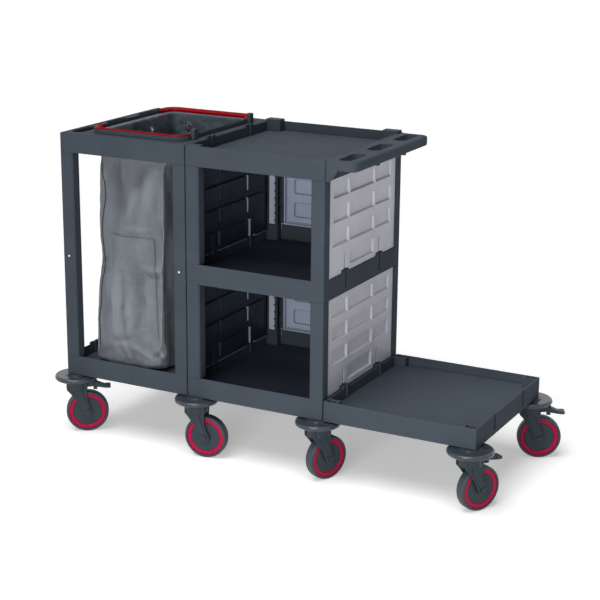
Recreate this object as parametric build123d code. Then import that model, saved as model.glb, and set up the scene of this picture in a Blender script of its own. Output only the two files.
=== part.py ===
from build123d import *
import os
from math import cos, radians, sin, sqrt

# Modular service cart in millimetres: a bag module, a two-level shelf module and a low platform,
# side by side along +X on eight swivel casters. +Z is up and the front is towards -Y.
# Everything is laid out from the cart's front left corner on the floor, and moved at the end so
# that the origin is on the floor in the middle of the cart's footprint.

# Modules
bag_module_width = 422.0
shelf_module_width = 437.0
platform_width = 454.0
module_gap = 2.0
module_depth = 493.0

# Moulded trays
tray_height = 58.0
tray_recess = 28.0
tray_floor = 4.0
tray_wall = 5.5
tray_corner_radius = 4.0
tray_edge_radius = 1.5
recess_corner_radius = 4.0
tray_rib = 3.0
tray_rib_count = 2
top_pad_height = 7.0
corner_pad_length = 50.0
rear_upstand_height = 20.0
rear_upstand_thickness = 5.0

# Connector slots in the side rims, with the keys that join neighbouring modules
connector_spacing = 220.0
slot_width = 10.0
slot_depth = 3.5
slot_length = 44.0
key_clearance = 0.3
rim_tab_width = 40.0
rim_tab_height = 7.0
rim_peg_width = 8.0
rim_peg_depth = 5.0

# Corner posts
post_width = 42.0
post_depth = 32.0
post_length = 280.0
post_chamfer = 4.0
post_wall = 6.0
post_rib = 3.0
post_rib_pitch = 55.0
post_solid_end = 24.0
panel_flange_width = 18.0
panel_flange_thickness = 4.0
tenon_width = 30.0
tenon_depth = 18.0
tenon_length = 20.0
tenon_clearance = 0.3

# End panels with their pressed pockets
panel_setback = 4.0
panel_sheet = 3.5
panel_clearance = 1.0
pocket_depth = 7.0
pocket_taper = 18.0
pocket_rows = 4
pocket_row_gap = 24.0
pocket_row_margin = 15.0
pocket_radius = 4.0
front_pocket_width = 96.0
rear_pocket_width = 102.0
pocket_column_gap = 8.0
pocket_edge_margin = 29.0
snap_slot_width = 12.0
snap_slot_length = 56.0
notch_clearance = 2.0

# Rear panels
rear_panel_gap = 12.0
rear_panel_sheet = 3.0
rear_panel_rim = 4.0
rear_panel_relief = 5.0
rear_panel_groove = 8.0
rear_window_margin = 24.0
rear_window_gap = 26.0
rear_window_foot = 15.0
rear_window_head = 29.0
rear_window_count = 3
rear_window_depth = 4.0
rear_window_radius = 8.0

# Hand holes in both handles
hand_hole_end = 18.5
hand_hole_web = 60.0
hand_hole_width = 40.0
hand_hole_count = 3
handle_gap = 0.8
handle_reach = 88.0
handle_thickness = 28.0
handle_corner_radius = 24.0
handle_end_inset = 3.0
handle_back_plate = 6.0
handle_edge_radius = 6.0
handle_cheek_reach = 34.0
handle_tab_length = 12.0
handle_tab_height = 5.0
grip_bar_width = 22.0
grip_edge_radius = 9.0

# Bag holder
deck_thickness = 6.0
collar_ledge = 3.0
collar_wall = 2.0
collar_wall_height = 13.0
collar_width = 22.0
collar_left = 82.0
collar_right_inset = 24.0
collar_end_inset = 30.0
collar_corner_radius = 40.0
hem_thickness = 1.5
hem_clearance = 0.4
clamp_height = 13.0
clamp_inner_height = 6.0
clamp_width = 10.0
clamp_crest = 1.5
clamp_gap = 0.4
clamp_side_clearance = 1.0
clamp_pivot_inset = 88.0
clamp_pin_diameter = 4.0
pin_clearance = 0.05
ear_thickness = 12.0
ear_width = 20.0
left_ear_top_margin = 7.0
right_ear_top_margin = 19.0
bag_wall = 2.5
bag_clearance = 1.5
bag_straight_length = 90.0
bag_corner_radius = 30.0
bag_bottom_width = 238.0
bag_bottom_depth = 372.0
bag_bottom_shift = 47.0
bag_floor_gap = 3.0
eyelet_hole_diameter = 12.0
eyelet_flange_diameter = 22.0
eyelet_flange_thickness = 1.0
eyelet_barrel_wall = 1.5
eyelet_drop = 34.0
eyelet_spacing = 150.0
eyelet_clearance = 0.2

# Casters
wheel_diameter = 127.0
tyre_width = 30.0
tread_thickness = 7.5
tyre_edge_radius = 6.0
tyre_seat_clearance = 0.1
rim_inset = 1.5
ring_inner_diameter = 87.0
ring_edge_radius = 2.5
web_width = 18.0
guard_clearance = 0.5
guard_thickness = 2.5
guard_boss_diameter = 24.0
axle_diameter = 8.0
axle_clearance = 0.05
axle_head_diameter = 15.0
axle_head_thickness = 4.0
caster_trail = 30.0
tyre_crown_gap = 8.0
crown_diameter = 64.0
crown_height = 30.5
swivel_gap = 0.5
leg_gap = 2.5
leg_thickness = 5.0
leg_foot_radius = 15.0
leg_flank_sag = 6.0
leg_foot_turn = 20.0
leg_ridge_thickness = 2.0
leg_ridge_radius = 7.0
leg_edge_radius = 1.5
bumper_diameter = 129.0
bumper_thickness = 14.5
bumper_edge_radius = 6.5
bumper_hub_diameter = 62.0
bumper_hub_height = 3.5
stem_diameter = 12.0
stem_web = 5.7
stem_clearance = 0.05
stem_head_diameter = 22.0
stem_head_thickness = 4.0
stem_head_clearance = 0.4

# Brake pedals on the four end casters
pedal_pivot_gap = 9.0
pedal_hub_diameter = 16.0
pedal_pin_diameter = 5.0
pedal_width = 20.0
pedal_side_clearance = 0.5
pedal_lug_thickness = 5.0
pedal_reach = 60.0
pedal_tip_thickness = 9.0
pedal_tip_drop = 6.0
pedal_tip_length = 18.0
pedal_tip_width = 28.0
pedal_tip_radius = 2.5
brake_shoe_length = 12.0
brake_shoe_gap = 6.0

# Screws in the bag module's posts
screw_head_diameter = 7.0
screw_head_height = 2.0
screw_diameter = 4.0
screw_length = 14.0
screw_clearance = 0.1
screw_height_share = 0.5

# Direction from each swivel axis to its wheel, in degrees from +X, left to right
front_headings = (36.0, 10.0, 65.0, 60.0)
rear_headings = (150.0, 200.0, 335.0, 26.0)

# Worked-out places
shelf_x = bag_module_width + module_gap
platform_x = shelf_x + shelf_module_width + module_gap
cart_length = platform_x + platform_width
wheel_radius = wheel_diameter / 2
crown_bottom = wheel_diameter + tyre_crown_gap
bumper_bottom = crown_bottom + crown_height + swivel_gap
bumper_top = bumper_bottom + bumper_thickness
rail_bottom = bumper_top + bumper_hub_height
base_top = rail_bottom + tray_height
middle_bottom = base_top + post_length
middle_top = middle_bottom + tray_height
top_bottom = middle_top + post_length
cart_top = top_bottom + tray_height
recess_floor = tray_height - tray_recess
stem_insert = tray_height - tenon_length - tenon_clearance - stem_web
side_panel_width = module_depth - 2 * post_depth - 2 * panel_clearance
side_panel_height = post_length - 2 * panel_clearance
connector_ys = [module_depth / 2 + side * connector_spacing / 2 for side in (-1, 1)]
bag_post_length = 2 * post_length + tray_height
hand_hole_room = module_depth - 2 * hand_hole_end - (hand_hole_count - 1) * hand_hole_web
hand_hole_length = hand_hole_room / hand_hole_count
hand_hole_pitch = hand_hole_length + hand_hole_web
collar_right = bag_module_width - collar_right_inset
collar_front = collar_end_inset
collar_rear = module_depth - collar_end_inset
collar_top = cart_top + collar_ledge
hem_top = collar_top + hem_thickness
clamp_bottom = hem_top + clamp_gap
clamp_axis_z = clamp_bottom + clamp_height / 2
clamp_axis_ys = (clamp_pivot_inset, module_depth - clamp_pivot_inset)
bag_left = collar_left + collar_width + bag_clearance
bag_right = collar_right - collar_width - bag_clearance
bag_front = collar_front + collar_width + bag_clearance
bag_rear = collar_rear - collar_width - bag_clearance
bag_bottom_z = rail_bottom + recess_floor + bag_floor_gap
leg_inner = tyre_width / 2 + leg_gap
leg_outer = leg_inner + leg_thickness
pedal_pivot_x = crown_diameter / 2 + pedal_pivot_gap
pedal_pivot_z = crown_bottom + crown_height / 2
pedal_lug_inner = pedal_width / 2 + pedal_side_clearance
caster_inset_x = post_width / 2
caster_inset_y = post_depth / 2
caster_xs = (caster_inset_x, shelf_x + caster_inset_x,
             shelf_x + shelf_module_width - caster_inset_x, cart_length - caster_inset_x)
braked_columns = (0, 3)

nodes = {}


def block(x0, x1, y0, y1, z0, z1):
    """A box between two corners."""
    return Pos(x0, y0, z0) * Box(x1 - x0, y1 - y0, z1 - z0, align=(Align.MIN,) * 3)


def area(x0, x1, y0, y1):
    """A flat rectangle between two corners."""
    return Pos(x0, y0) * Rectangle(x1 - x0, y1 - y0, align=(Align.MIN,) * 2)


def rod(diameter, y0, y1, x, z):
    """A round bar along Y."""
    bar = Cylinder(diameter / 2, y1 - y0, align=(Align.CENTER, Align.CENTER, Align.MIN))
    return Pos(x, y0, z) * (Rot(-90, 0, 0) * bar)


def upright(diameter, x, y, z0, z1):
    """A round bar along Z."""
    bar = Cylinder(diameter / 2, z1 - z0, align=(Align.CENTER, Align.CENTER, Align.MIN))
    return Pos(x, y, z0) * bar


def post_corners(width):
    """Front left corner of each post's footprint in a module of the given width."""
    rear = module_depth - post_depth
    return {"front_left": (0, 0), "front_right": (width - post_width, 0),
            "rear_left": (0, rear), "rear_right": (width - post_width, rear)}


def recess_outline(width):
    """Tray recess: the inside of the rim, less the four corner blocks that take the posts."""
    outline = area(tray_wall, width - tray_wall, tray_wall, module_depth - tray_wall)
    for x, y in post_corners(width).values():
        outline -= area(x, x + post_width, y, y + post_depth)
    return fillet(outline.vertices(), recess_corner_radius)


def underside_outline(width):
    """Hollow underside, split into cells by crossing ribs."""
    outline = recess_outline(width)
    for i in range(tray_rib_count):
        share = (i + 1) / (tray_rib_count + 1)
        outline -= Pos(share * width, module_depth / 2) * Rectangle(tray_rib, module_depth)
        outline -= Pos(width / 2, share * module_depth) * Rectangle(width, tray_rib)
    return outline


def round_block(tray):
    """Round a tray's upright corners, then its outer top and bottom edges."""
    tray = fillet(tray.edges().filter_by(Axis.Z), tray_corner_radius)
    outline = tray.faces().sort_by(Axis.Z)[-1].edges() + tray.faces().sort_by(Axis.Z)[0].edges()
    return fillet(outline, tray_edge_radius)


def tenon_socket(x, y, z0, z1):
    """Space that a post's tenon needs in the corner block whose footprint starts at x, y."""
    half_x = tenon_width / 2 + tenon_clearance
    half_y = tenon_depth / 2 + tenon_clearance
    cx = x + post_width / 2
    cy = y + post_depth / 2
    return block(cx - half_x, cx + half_x, cy - half_y, cy + half_y, z0, z1)


def make_tray(width, posts_below, sockets_above, caster_corners=(), pad_height=0, upstand=False,
              plain_right=False):
    """One moulded tray, with its underside at z = 0. A plain right rim has slots but no raised tabs."""
    tray = block(0, width, 0, module_depth, 0, tray_height)
    tray = round_block(tray)
    tray -= Pos(0, 0, recess_floor) * extrude(recess_outline(width), tray_recess)
    tray -= extrude(underside_outline(width), recess_floor - tray_floor)
    top = tray_height + rim_tab_height
    for y in connector_ys:
        for outer, inward in ((0, 1), (width, -1)):
            rim = sorted((outer, outer + inward * tray_wall))
            peg = sorted((outer + inward * tray_wall, outer + inward * (tray_wall + rim_peg_depth)))
            slot = sorted((outer, outer + inward * slot_depth))
            half = rim_tab_width / 2
            if outer == 0 or not plain_right:
                tray += block(*rim, y - half, y + half, tray_height - tray_edge_radius, top)
                tray += block(*peg, y - rim_peg_width / 2, y + rim_peg_width / 2, recess_floor, top)
            tray -= block(*slot, y - slot_width / 2, y + slot_width / 2, tray_height - slot_length, top)
    if upstand:
        rear = module_depth - tray_wall
        tray += block(post_width + panel_clearance, width - post_width - panel_clearance,
                      rear, rear + rear_upstand_thickness,
                      tray_height - tray_edge_radius, tray_height + rear_upstand_height)
    for name, (x, y) in post_corners(width).items():
        if pad_height and "rear" in name:
            x0 = x if "left" in name else x + post_width - corner_pad_length
            pad = block(x0, x0 + corner_pad_length, y, y + post_depth,
                        recess_floor, tray_height + pad_height)
            tray += fillet(pad.edges().filter_by(Axis.Z), tray_corner_radius)
        if name in sockets_above:
            tray -= tenon_socket(x, y, tray_height - tenon_length - tenon_clearance, tray_height)
        if posts_below:
            tray -= tenon_socket(x, y, 0, tenon_length + tenon_clearance)
        if name in caster_corners:
            tray -= upright(stem_diameter, x + caster_inset_x, y + caster_inset_y, 0, stem_insert)
    return tray


def make_post(length, is_front, is_left, has_flange):
    """One hollow ribbed post with a tenon at each end, standing at z = 0 as a left-hand piece."""
    outer_y, inner_y = (0, post_depth) if is_front else (post_depth, 0)
    post = block(0, post_width, 0, post_depth, 0, length)
    uprights = post.edges().filter_by(Axis.Z)
    outer_edge = uprights.sort_by_distance((0, outer_y, length / 2))[0]
    post = fillet(outer_edge, tray_corner_radius)
    uprights = post.edges().filter_by(Axis.Z)
    chamfer_edge = uprights.sort_by_distance((post_width, outer_y, length / 2))[0]
    post = chamfer(chamfer_edge, post_chamfer)
    if is_front:
        hollow = (post_wall, post_width - post_wall, post_wall, post_depth)
    else:
        hollow = (post_wall, post_width, post_wall, post_depth - post_wall)
    ladder = block(*hollow, post_solid_end, length - post_solid_end)
    rib_count = int((length - 2 * post_solid_end) / post_rib_pitch)
    for i in range(rib_count):
        z = post_solid_end + (i + 1) * (length - 2 * post_solid_end) / (rib_count + 1)
        ladder -= block(*hollow, z - post_rib / 2, z + post_rib / 2)
    post -= ladder
    if has_flange:
        post += block(post_width - post_wall, post_width + panel_flange_width,
                      post_depth - panel_flange_thickness, post_depth,
                      rear_upstand_height + panel_clearance, length)
    for z in (-tenon_length, length):
        tenon = Pos(post_width / 2, post_depth / 2, z) * Box(
            tenon_width, tenon_depth, tenon_length, align=(Align.CENTER, Align.CENTER, Align.MIN))
        post += tenon
    if not is_left:
        post = Pos(post_width, 0, 0) * mirror(post, about=Plane.YZ)
    return post


def pocket_columns():
    """Front and rear edge of each pocket column, from the panel's front edge."""
    front_end = pocket_edge_margin + front_pocket_width
    rear_start = side_panel_width - pocket_edge_margin - rear_pocket_width
    return ((pocket_edge_margin, front_end),
            (front_end + pocket_column_gap, rear_start - pocket_column_gap),
            (rear_start, side_panel_width - pocket_edge_margin))


def make_side_panel():
    """End panel as a left-hand piece: outer face at x = 0, pockets pressed in towards +X."""
    panel = block(0, panel_sheet, 0, side_panel_width, 0, side_panel_height)
    face = Plane(origin=(0, 0, 0), x_dir=(0, 1, 0), z_dir=(1, 0, 0))
    room = side_panel_height - 2 * pocket_row_margin - (pocket_rows - 1) * pocket_row_gap
    pocket_height = room / pocket_rows
    for column, (y0, y1) in enumerate(pocket_columns()):
        for row in range(pocket_rows):
            if row == 0 and column != 1:
                continue
            z = pocket_row_margin + row * (pocket_height + pocket_row_gap) + pocket_height / 2
            place = face * Pos((y0 + y1) / 2, z)
            hollow = place * RectangleRounded(y1 - y0, pocket_height, pocket_radius)
            skin = place * RectangleRounded(y1 - y0 + 2 * panel_sheet, pocket_height + 2 * panel_sheet,
                                            pocket_radius + panel_sheet)
            panel += extrude(skin, panel_sheet + pocket_depth, taper=pocket_taper)
            panel -= extrude(hollow, pocket_depth, taper=pocket_taper)
    notch = rim_tab_width + 2 * notch_clearance
    for y in connector_ys:
        middle = y - post_depth - panel_clearance
        panel -= block(0, panel_sheet, middle - notch / 2, middle + notch / 2,
                       0, rim_tab_height + notch_clearance)
        panel -= block(0, panel_sheet, middle - snap_slot_width / 2, middle + snap_slot_width / 2,
                       0, snap_slot_length)
        panel += block(panel_sheet, panel_sheet + pocket_depth - panel_sheet / 2,
                       middle - snap_slot_width, middle + snap_slot_width,
                       rim_tab_height + notch_clearance, snap_slot_length + panel_sheet)
    return panel


def make_rear_panel():
    """Rear panel with its front face towards -Y, left edge at x = 0 and back face at y = 0."""
    width = shelf_module_width - 2 * (post_width + rear_panel_gap)
    height = post_length - rear_upstand_height - 2 * panel_clearance
    front = -rear_panel_sheet - rear_panel_relief
    panel = block(0, width, -rear_panel_sheet, 0, 0, height)
    rim = block(0, width, front, 0, 0, height)
    rim -= block(rear_panel_rim, width - rear_panel_rim, front, 0, rear_panel_rim, height - rear_panel_rim)
    panel += rim
    inset = rear_panel_rim + rear_panel_groove
    pad = block(inset, width - inset, front, 0, inset, height - inset)
    room = height - 2 * inset - rear_window_foot - rear_window_head
    window_height = (room - (rear_window_count - 1) * rear_window_gap) / rear_window_count
    window = block(inset + rear_window_margin, width - inset - rear_window_margin,
                   front, front + rear_window_depth, 0, window_height)
    window = fillet(window.edges().filter_by(Axis.Y), rear_window_radius)
    for i in range(rear_window_count):
        pad -= Pos(0, 0, inset + rear_window_foot + i * (window_height + rear_window_gap)) * window
    panel += pad
    return panel


def hand_holes(x, z0, z1):
    """Rounded hand holes in a row along Y, centred on the depth of the cart."""
    slots = []
    for i in range(hand_hole_count):
        y = module_depth / 2 + (i - (hand_hole_count - 1) / 2) * hand_hole_pitch
        slot = Pos(x, y) * (Rot(0, 0, 90) * SlotOverall(hand_hole_length, hand_hole_width))
        slots.append(Pos(0, 0, z0) * extrude(slot, z1 - z0))
    return slots


def make_bag_frame():
    """Top frame of the bag module: deck and skirt, bag opening, and the left handle's hand holes."""
    body = block(0, bag_module_width, 0, module_depth, 0, tray_height)
    left_top = body.edges().filter_by(Axis.Y).group_by(Axis.X)[0].sort_by(Axis.Z)[-1]
    frame = round_block(body) & fillet(left_top, grip_edge_radius)
    hollow = area(tray_wall, bag_module_width - tray_wall, tray_wall, module_depth - tray_wall)
    for x, y in post_corners(bag_module_width).values():
        hollow -= area(x, x + post_width, y, y + post_depth)
    hollow = fillet(hollow.vertices(), recess_corner_radius)
    frame -= extrude(hollow, tray_height - deck_thickness)
    grip = block(0, tray_wall, post_depth, module_depth - post_depth, 0, tray_height - handle_thickness)
    frame -= grip
    opening_left = collar_left + collar_width
    opening_right = collar_right - collar_width
    opening = area(opening_left, opening_right, collar_front + collar_width, collar_rear - collar_width)
    opening = fillet(opening.vertices(), collar_corner_radius - collar_width)
    frame -= extrude(opening, tray_height)
    hole_x = grip_bar_width + hand_hole_width / 2
    for hole in hand_holes(hole_x, tray_height - deck_thickness, tray_height):
        frame -= hole
    for y in connector_ys:
        frame -= block(bag_module_width - slot_depth, bag_module_width,
                       y - slot_width / 2, y + slot_width / 2,
                       tray_height - slot_length, tray_height)
    for x, y in post_corners(bag_module_width).values():
        frame -= tenon_socket(x, y, 0, tenon_length + tenon_clearance)
    return frame


def make_push_handle():
    """Right-hand push handle: grip slab, back plate and end cheeks, with its back at x = 0."""
    y0 = handle_end_inset
    y1 = module_depth - handle_end_inset
    slab_bottom = tray_height - handle_thickness
    slab_middle = tray_height - handle_thickness / 2
    slab = block(0, handle_reach, y0, y1, slab_bottom, tray_height)
    outer = slab.edges().filter_by(Axis.Z).sort_by(Axis.X)[-2:]
    slab = fillet(outer, handle_corner_radius)
    long_edges = [e for e in slab.edges()
                  if e.center().X > handle_back_plate and abs(e.tangent_at(0.5).Z) < 0.5]
    slab = fillet(long_edges, handle_edge_radius)
    for hole in hand_holes(handle_reach / 2, slab_bottom, tray_height):
        slab -= hole
    slab += block(0, handle_back_plate, y0, y1, 0, tray_height)
    profile = Polyline((0, 0), (handle_back_plate * 2, 0), (handle_cheek_reach, slab_bottom),
                       (handle_cheek_reach, slab_middle), (0, slab_middle), (0, 0))
    cheek = make_face(Plane.XZ * profile)
    for y in (y0 + handle_back_plate, y1):
        slab += Pos(0, y, 0) * extrude(cheek, handle_back_plate)
    for side in (-1, 1):
        y = module_depth / 2 + side * hand_hole_pitch / 2
        tab_end = handle_reach - handle_edge_radius
        slab += block(tab_end - handle_tab_length, tab_end,
                      y - handle_tab_length / 2, y + handle_tab_length / 2,
                      slab_bottom - handle_tab_height, slab_middle)
    return slab


def collar_outline(inset):
    """Rounded rectangle of the bag collar, set in from its outer edge."""
    width = collar_right - collar_left - 2 * inset
    depth = collar_rear - collar_front - 2 * inset
    middle = Pos((collar_left + collar_right) / 2, (collar_front + collar_rear) / 2)
    return middle * RectangleRounded(width, depth, collar_corner_radius - inset)


def clamp_pivot_spans():
    """X range of the left and right ear, just outside the clamp's legs."""
    left = collar_left + collar_wall
    right = collar_right - collar_wall
    return ((left - ear_thickness, left), (right, right + ear_thickness))


def make_collar():
    """Collar that carries the bag's hem, with an ear at each clamp pivot."""
    ledge = extrude(collar_outline(0) - collar_outline(collar_width), collar_ledge)
    wall = extrude(collar_outline(0) - collar_outline(collar_wall), collar_wall_height)
    collar = Pos(0, 0, cart_top) * (ledge + wall)
    for (x0, x1), margin in zip(clamp_pivot_spans(), (left_ear_top_margin, right_ear_top_margin)):
        for y in clamp_axis_ys:
            ear = block(x0, x1, y - ear_width / 2, y + ear_width / 2, cart_top, clamp_axis_z + margin)
            top_edges = ear.edges().filter_by(Axis.X).sort_by(Axis.Z)[-2:]
            collar += fillet(top_edges, ear_width / 4)
            hole = Cylinder(clamp_pin_diameter / 2, x1 - x0)
            collar -= Pos((x0 + x1) / 2, y, clamp_axis_z) * (Rot(0, 90, 0) * hole)
    return collar


def make_clamp(is_front):
    """Hinged U-shaped hoop that holds the bag's hem down on the collar."""
    outer = collar_wall + clamp_side_clearance
    inner = outer + clamp_width
    hoop = extrude(collar_outline(outer) - collar_outline(inner), clamp_height)
    slope = loft([Pos(0, 0, clamp_inner_height) * collar_outline(inner),
                  Pos(0, 0, clamp_height) * collar_outline(outer + clamp_crest)], ruled=True)
    hoop = Pos(0, 0, clamp_bottom) * (hoop - slope)
    axis_y = clamp_axis_ys[0] if is_front else clamp_axis_ys[1]
    far_y = 0 if is_front else module_depth
    hoop &= block(0, bag_module_width, *sorted((far_y, axis_y)), clamp_bottom, clamp_bottom + clamp_height)
    middle = outer + clamp_width / 2
    for x in (collar_left + middle, collar_right - middle):
        eye = Rot(0, 90, 0) * Cylinder(clamp_height / 2, clamp_width)
        hole = Rot(0, 90, 0) * Cylinder(clamp_pin_diameter / 2 + pin_clearance, clamp_width)
        hoop += Pos(x, axis_y, clamp_axis_z) * eye
        hoop -= Pos(x, axis_y, clamp_axis_z) * hole
    return hoop


def make_clamp_pins():
    """Four pins, each through an ear and one leg of a clamp."""
    length = ear_thickness + clamp_side_clearance + clamp_width
    pins = []
    for (x0, x1), inward in zip(clamp_pivot_spans(), (1, -1)):
        start = x0 if inward > 0 else x1
        for y in clamp_axis_ys:
            pin = Rot(0, 90, 0) * Cylinder(clamp_pin_diameter / 2, length)
            pins.append(Pos(start + inward * length / 2, y, clamp_axis_z) * pin)
    return pins


def bag_body(inset):
    """Solid bag shape, tapered from its foot to its upright neck, set in by a wall thickness."""
    top_width = bag_right - bag_left - 2 * inset
    top_depth = bag_rear - bag_front - 2 * inset
    mid_x = (bag_left + bag_right) / 2
    mid_y = (bag_front + bag_rear) / 2
    shoulder_z = cart_top - bag_straight_length
    radius = bag_corner_radius - inset
    foot = Pos(mid_x - bag_bottom_shift, mid_y, bag_bottom_z + inset) * RectangleRounded(
        bag_bottom_width - 2 * inset, bag_bottom_depth - 2 * inset, radius)
    shoulder = Pos(mid_x, mid_y, shoulder_z) * RectangleRounded(top_width, top_depth, radius)
    neck = extrude(shoulder, hem_top - shoulder_z)
    return loft([foot, shoulder], ruled=True) + neck


def eyelet_places():
    """Centre and outward direction of each eyelet in the bag's upright neck."""
    z = cart_top - eyelet_drop
    mid_x = (bag_left + bag_right) / 2
    mid_y = (bag_front + bag_rear) / 2
    places = []
    for side in (-1, 1):
        shift = side * eyelet_spacing / 2
        places.append(((bag_left, mid_y + shift, z), (-1, 0, 0)))
        places.append(((bag_right, mid_y + shift, z), (1, 0, 0)))
        places.append(((mid_x + shift, bag_front, z), (0, -1, 0)))
        places.append(((mid_x + shift, bag_rear, z), (0, 1, 0)))
    return places


def make_bag():
    """Open bag: tapered walls, upright neck and a hem turned out over the collar."""
    hem = extrude(collar_outline(collar_wall + hem_clearance), hem_thickness)
    bag = bag_body(0) + Pos(0, 0, collar_top) * hem
    bag -= bag_body(bag_wall)
    for place, out in eyelet_places():
        hole = extrude(Plane(place, z_dir=out) * Circle(eyelet_hole_diameter / 2), bag_wall, both=True)
        bag -= hole
    return bag


def make_eyelets():
    """Pressed rings that line the eyelet holes, with a flange on each face of the bag."""
    rings = []
    barrel = eyelet_hole_diameter / 2 - eyelet_clearance
    bore = barrel - eyelet_barrel_wall
    flange = eyelet_flange_thickness + eyelet_clearance
    for place, out in eyelet_places():
        plane = Plane(place, z_dir=out)
        tube = Pos(0, 0, -bag_wall - flange) * extrude(Circle(barrel), bag_wall + 2 * flange)
        for z in (eyelet_clearance, -bag_wall - flange):
            tube += Pos(0, 0, z) * extrude(Circle(eyelet_flange_diameter / 2), eyelet_flange_thickness)
        tube -= Pos(0, 0, -bag_wall - flange) * extrude(Circle(bore), bag_wall + 2 * flange)
        rings.append(plane * tube)
    return rings


def leg_profile():
    """Side view of a fork leg: as broad as the crown at the top, drawn in to a round axle boss."""
    half = crown_diameter / 2 - leg_edge_radius
    top = crown_bottom + crown_height
    axle = Vector(caster_trail, wheel_radius)
    turn = radians(leg_foot_turn)
    near = axle + Vector(leg_foot_radius * cos(turn), leg_foot_radius * sin(turn))
    far = axle - Vector(leg_foot_radius * cos(turn), leg_foot_radius * sin(turn))
    low = axle + Vector(leg_foot_radius * sin(turn), -leg_foot_radius * cos(turn))
    right_top = Vector(half, crown_bottom)
    left_top = Vector(-half, crown_bottom)
    right_mid = (right_top + near) / 2 - Vector(leg_flank_sag, 0)
    left_mid = (left_top + far) / 2 + Vector(leg_flank_sag, 0)
    outline = [Polyline(left_top, (-half, top), (half, top), right_top),
               ThreePointArc(right_top, right_mid, near),
               ThreePointArc(near, low, far),
               ThreePointArc(far, left_mid, left_top)]
    return make_face(Curve() + outline)


def make_fork(braked):
    """Swivel fork with its axle, thread guards and, on a braked caster, the pedal's pin."""
    crown = upright(crown_diameter, 0, 0, crown_bottom, crown_bottom + crown_height)
    axle_z = wheel_radius
    leg_face = leg_profile()
    ridge_top = Pos(0, crown_bottom) * Rectangle(2 * leg_ridge_radius, crown_height)
    ridge_foot = Pos(caster_trail, axle_z) * Circle(leg_ridge_radius)
    ridge_face = make_hull(ridge_top.edges() + ridge_foot.edges())
    leg = Pos(0, -leg_inner, 0) * extrude(Plane.XZ * leg_face, leg_thickness)
    rim = [e for e in leg.edges() if abs(e.center().Y + leg_outer) < 0.01]
    leg = fillet(rim, leg_edge_radius)
    leg += Pos(0, -leg_inner, 0) * extrude(Plane.XZ * ridge_face, leg_thickness + leg_ridge_thickness)
    fork = crown + leg + mirror(leg, about=Plane.XZ)
    if braked:
        for side in (1, -1):
            y0, y1 = sorted((side * pedal_lug_inner, side * (pedal_lug_inner + pedal_lug_thickness)))
            fork += block(0, pedal_pivot_x, y0, y1, pedal_pivot_z - pedal_hub_diameter / 2,
                          pedal_pivot_z + pedal_hub_diameter / 2)
            fork += rod(pedal_hub_diameter, y0, y1, pedal_pivot_x, pedal_pivot_z)
        fork -= rod(pedal_pin_diameter, -leg_outer, leg_outer, pedal_pivot_x, pedal_pivot_z)
    head_top = crown_bottom + stem_head_thickness + 2 * stem_head_clearance
    fork -= upright(stem_head_diameter + 2 * stem_head_clearance, 0, 0, crown_bottom, head_top)
    fork -= upright(stem_diameter + 2 * stem_clearance, 0, 0, crown_bottom, crown_bottom + crown_height)
    reach = leg_outer + leg_ridge_thickness
    fork -= rod(axle_diameter + 2 * axle_clearance, -reach, reach, caster_trail, axle_z)
    pieces = [fork]
    axle = rod(axle_diameter, -reach, reach, caster_trail, axle_z)
    for y0, y1 in ((reach, reach + axle_head_thickness), (-reach - axle_head_thickness, -reach)):
        axle += rod(axle_head_diameter, y0, y1, caster_trail, axle_z)
    pieces.append(axle)
    for side in (1, -1):
        face = web_width / 2 + guard_clearance
        plate = sorted((side * face, side * (face + guard_thickness)))
        boss = sorted((side * face, side * leg_inner))
        guard = rod(ring_inner_diameter - 2 * guard_clearance, *plate, caster_trail, axle_z)
        guard += rod(guard_boss_diameter, *boss, caster_trail, axle_z)
        guard -= rod(axle_diameter + 2 * axle_clearance, *boss, caster_trail, axle_z)
        pieces.append(guard)
    if braked:
        end = pedal_lug_inner + pedal_lug_thickness
        pieces.append(rod(pedal_pin_diameter, -end, end, pedal_pivot_x, pedal_pivot_z))
    return pieces


def make_wheel_core():
    """Wheel centre: broad rim, thinner web inside it and a plain axle bore."""
    radius = wheel_radius - tread_thickness - tyre_seat_clearance
    half = tyre_width / 2 - rim_inset
    core = rod(2 * radius, -half, half, caster_trail, wheel_radius)
    for y0, y1 in ((web_width / 2, half), (-half, -web_width / 2)):
        core -= rod(ring_inner_diameter, y0, y1, caster_trail, wheel_radius)
    rings = [e for e in core.edges().filter_by(GeomType.CIRCLE) if abs(abs(e.center().Y) - half) < 0.01]
    core = fillet(rings, ring_edge_radius)
    core -= rod(axle_diameter + 2 * axle_clearance, -half, half, caster_trail, wheel_radius)
    return core


def make_tyre():
    """Tyre with rounded shoulders."""
    half = tyre_width / 2
    tyre = rod(wheel_diameter, -half, half, caster_trail, wheel_radius)
    tyre = fillet(tyre.edges().filter_by(GeomType.CIRCLE), tyre_edge_radius)
    tyre -= rod(wheel_diameter - 2 * tread_thickness, -half, half, caster_trail, wheel_radius)
    return tyre


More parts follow.
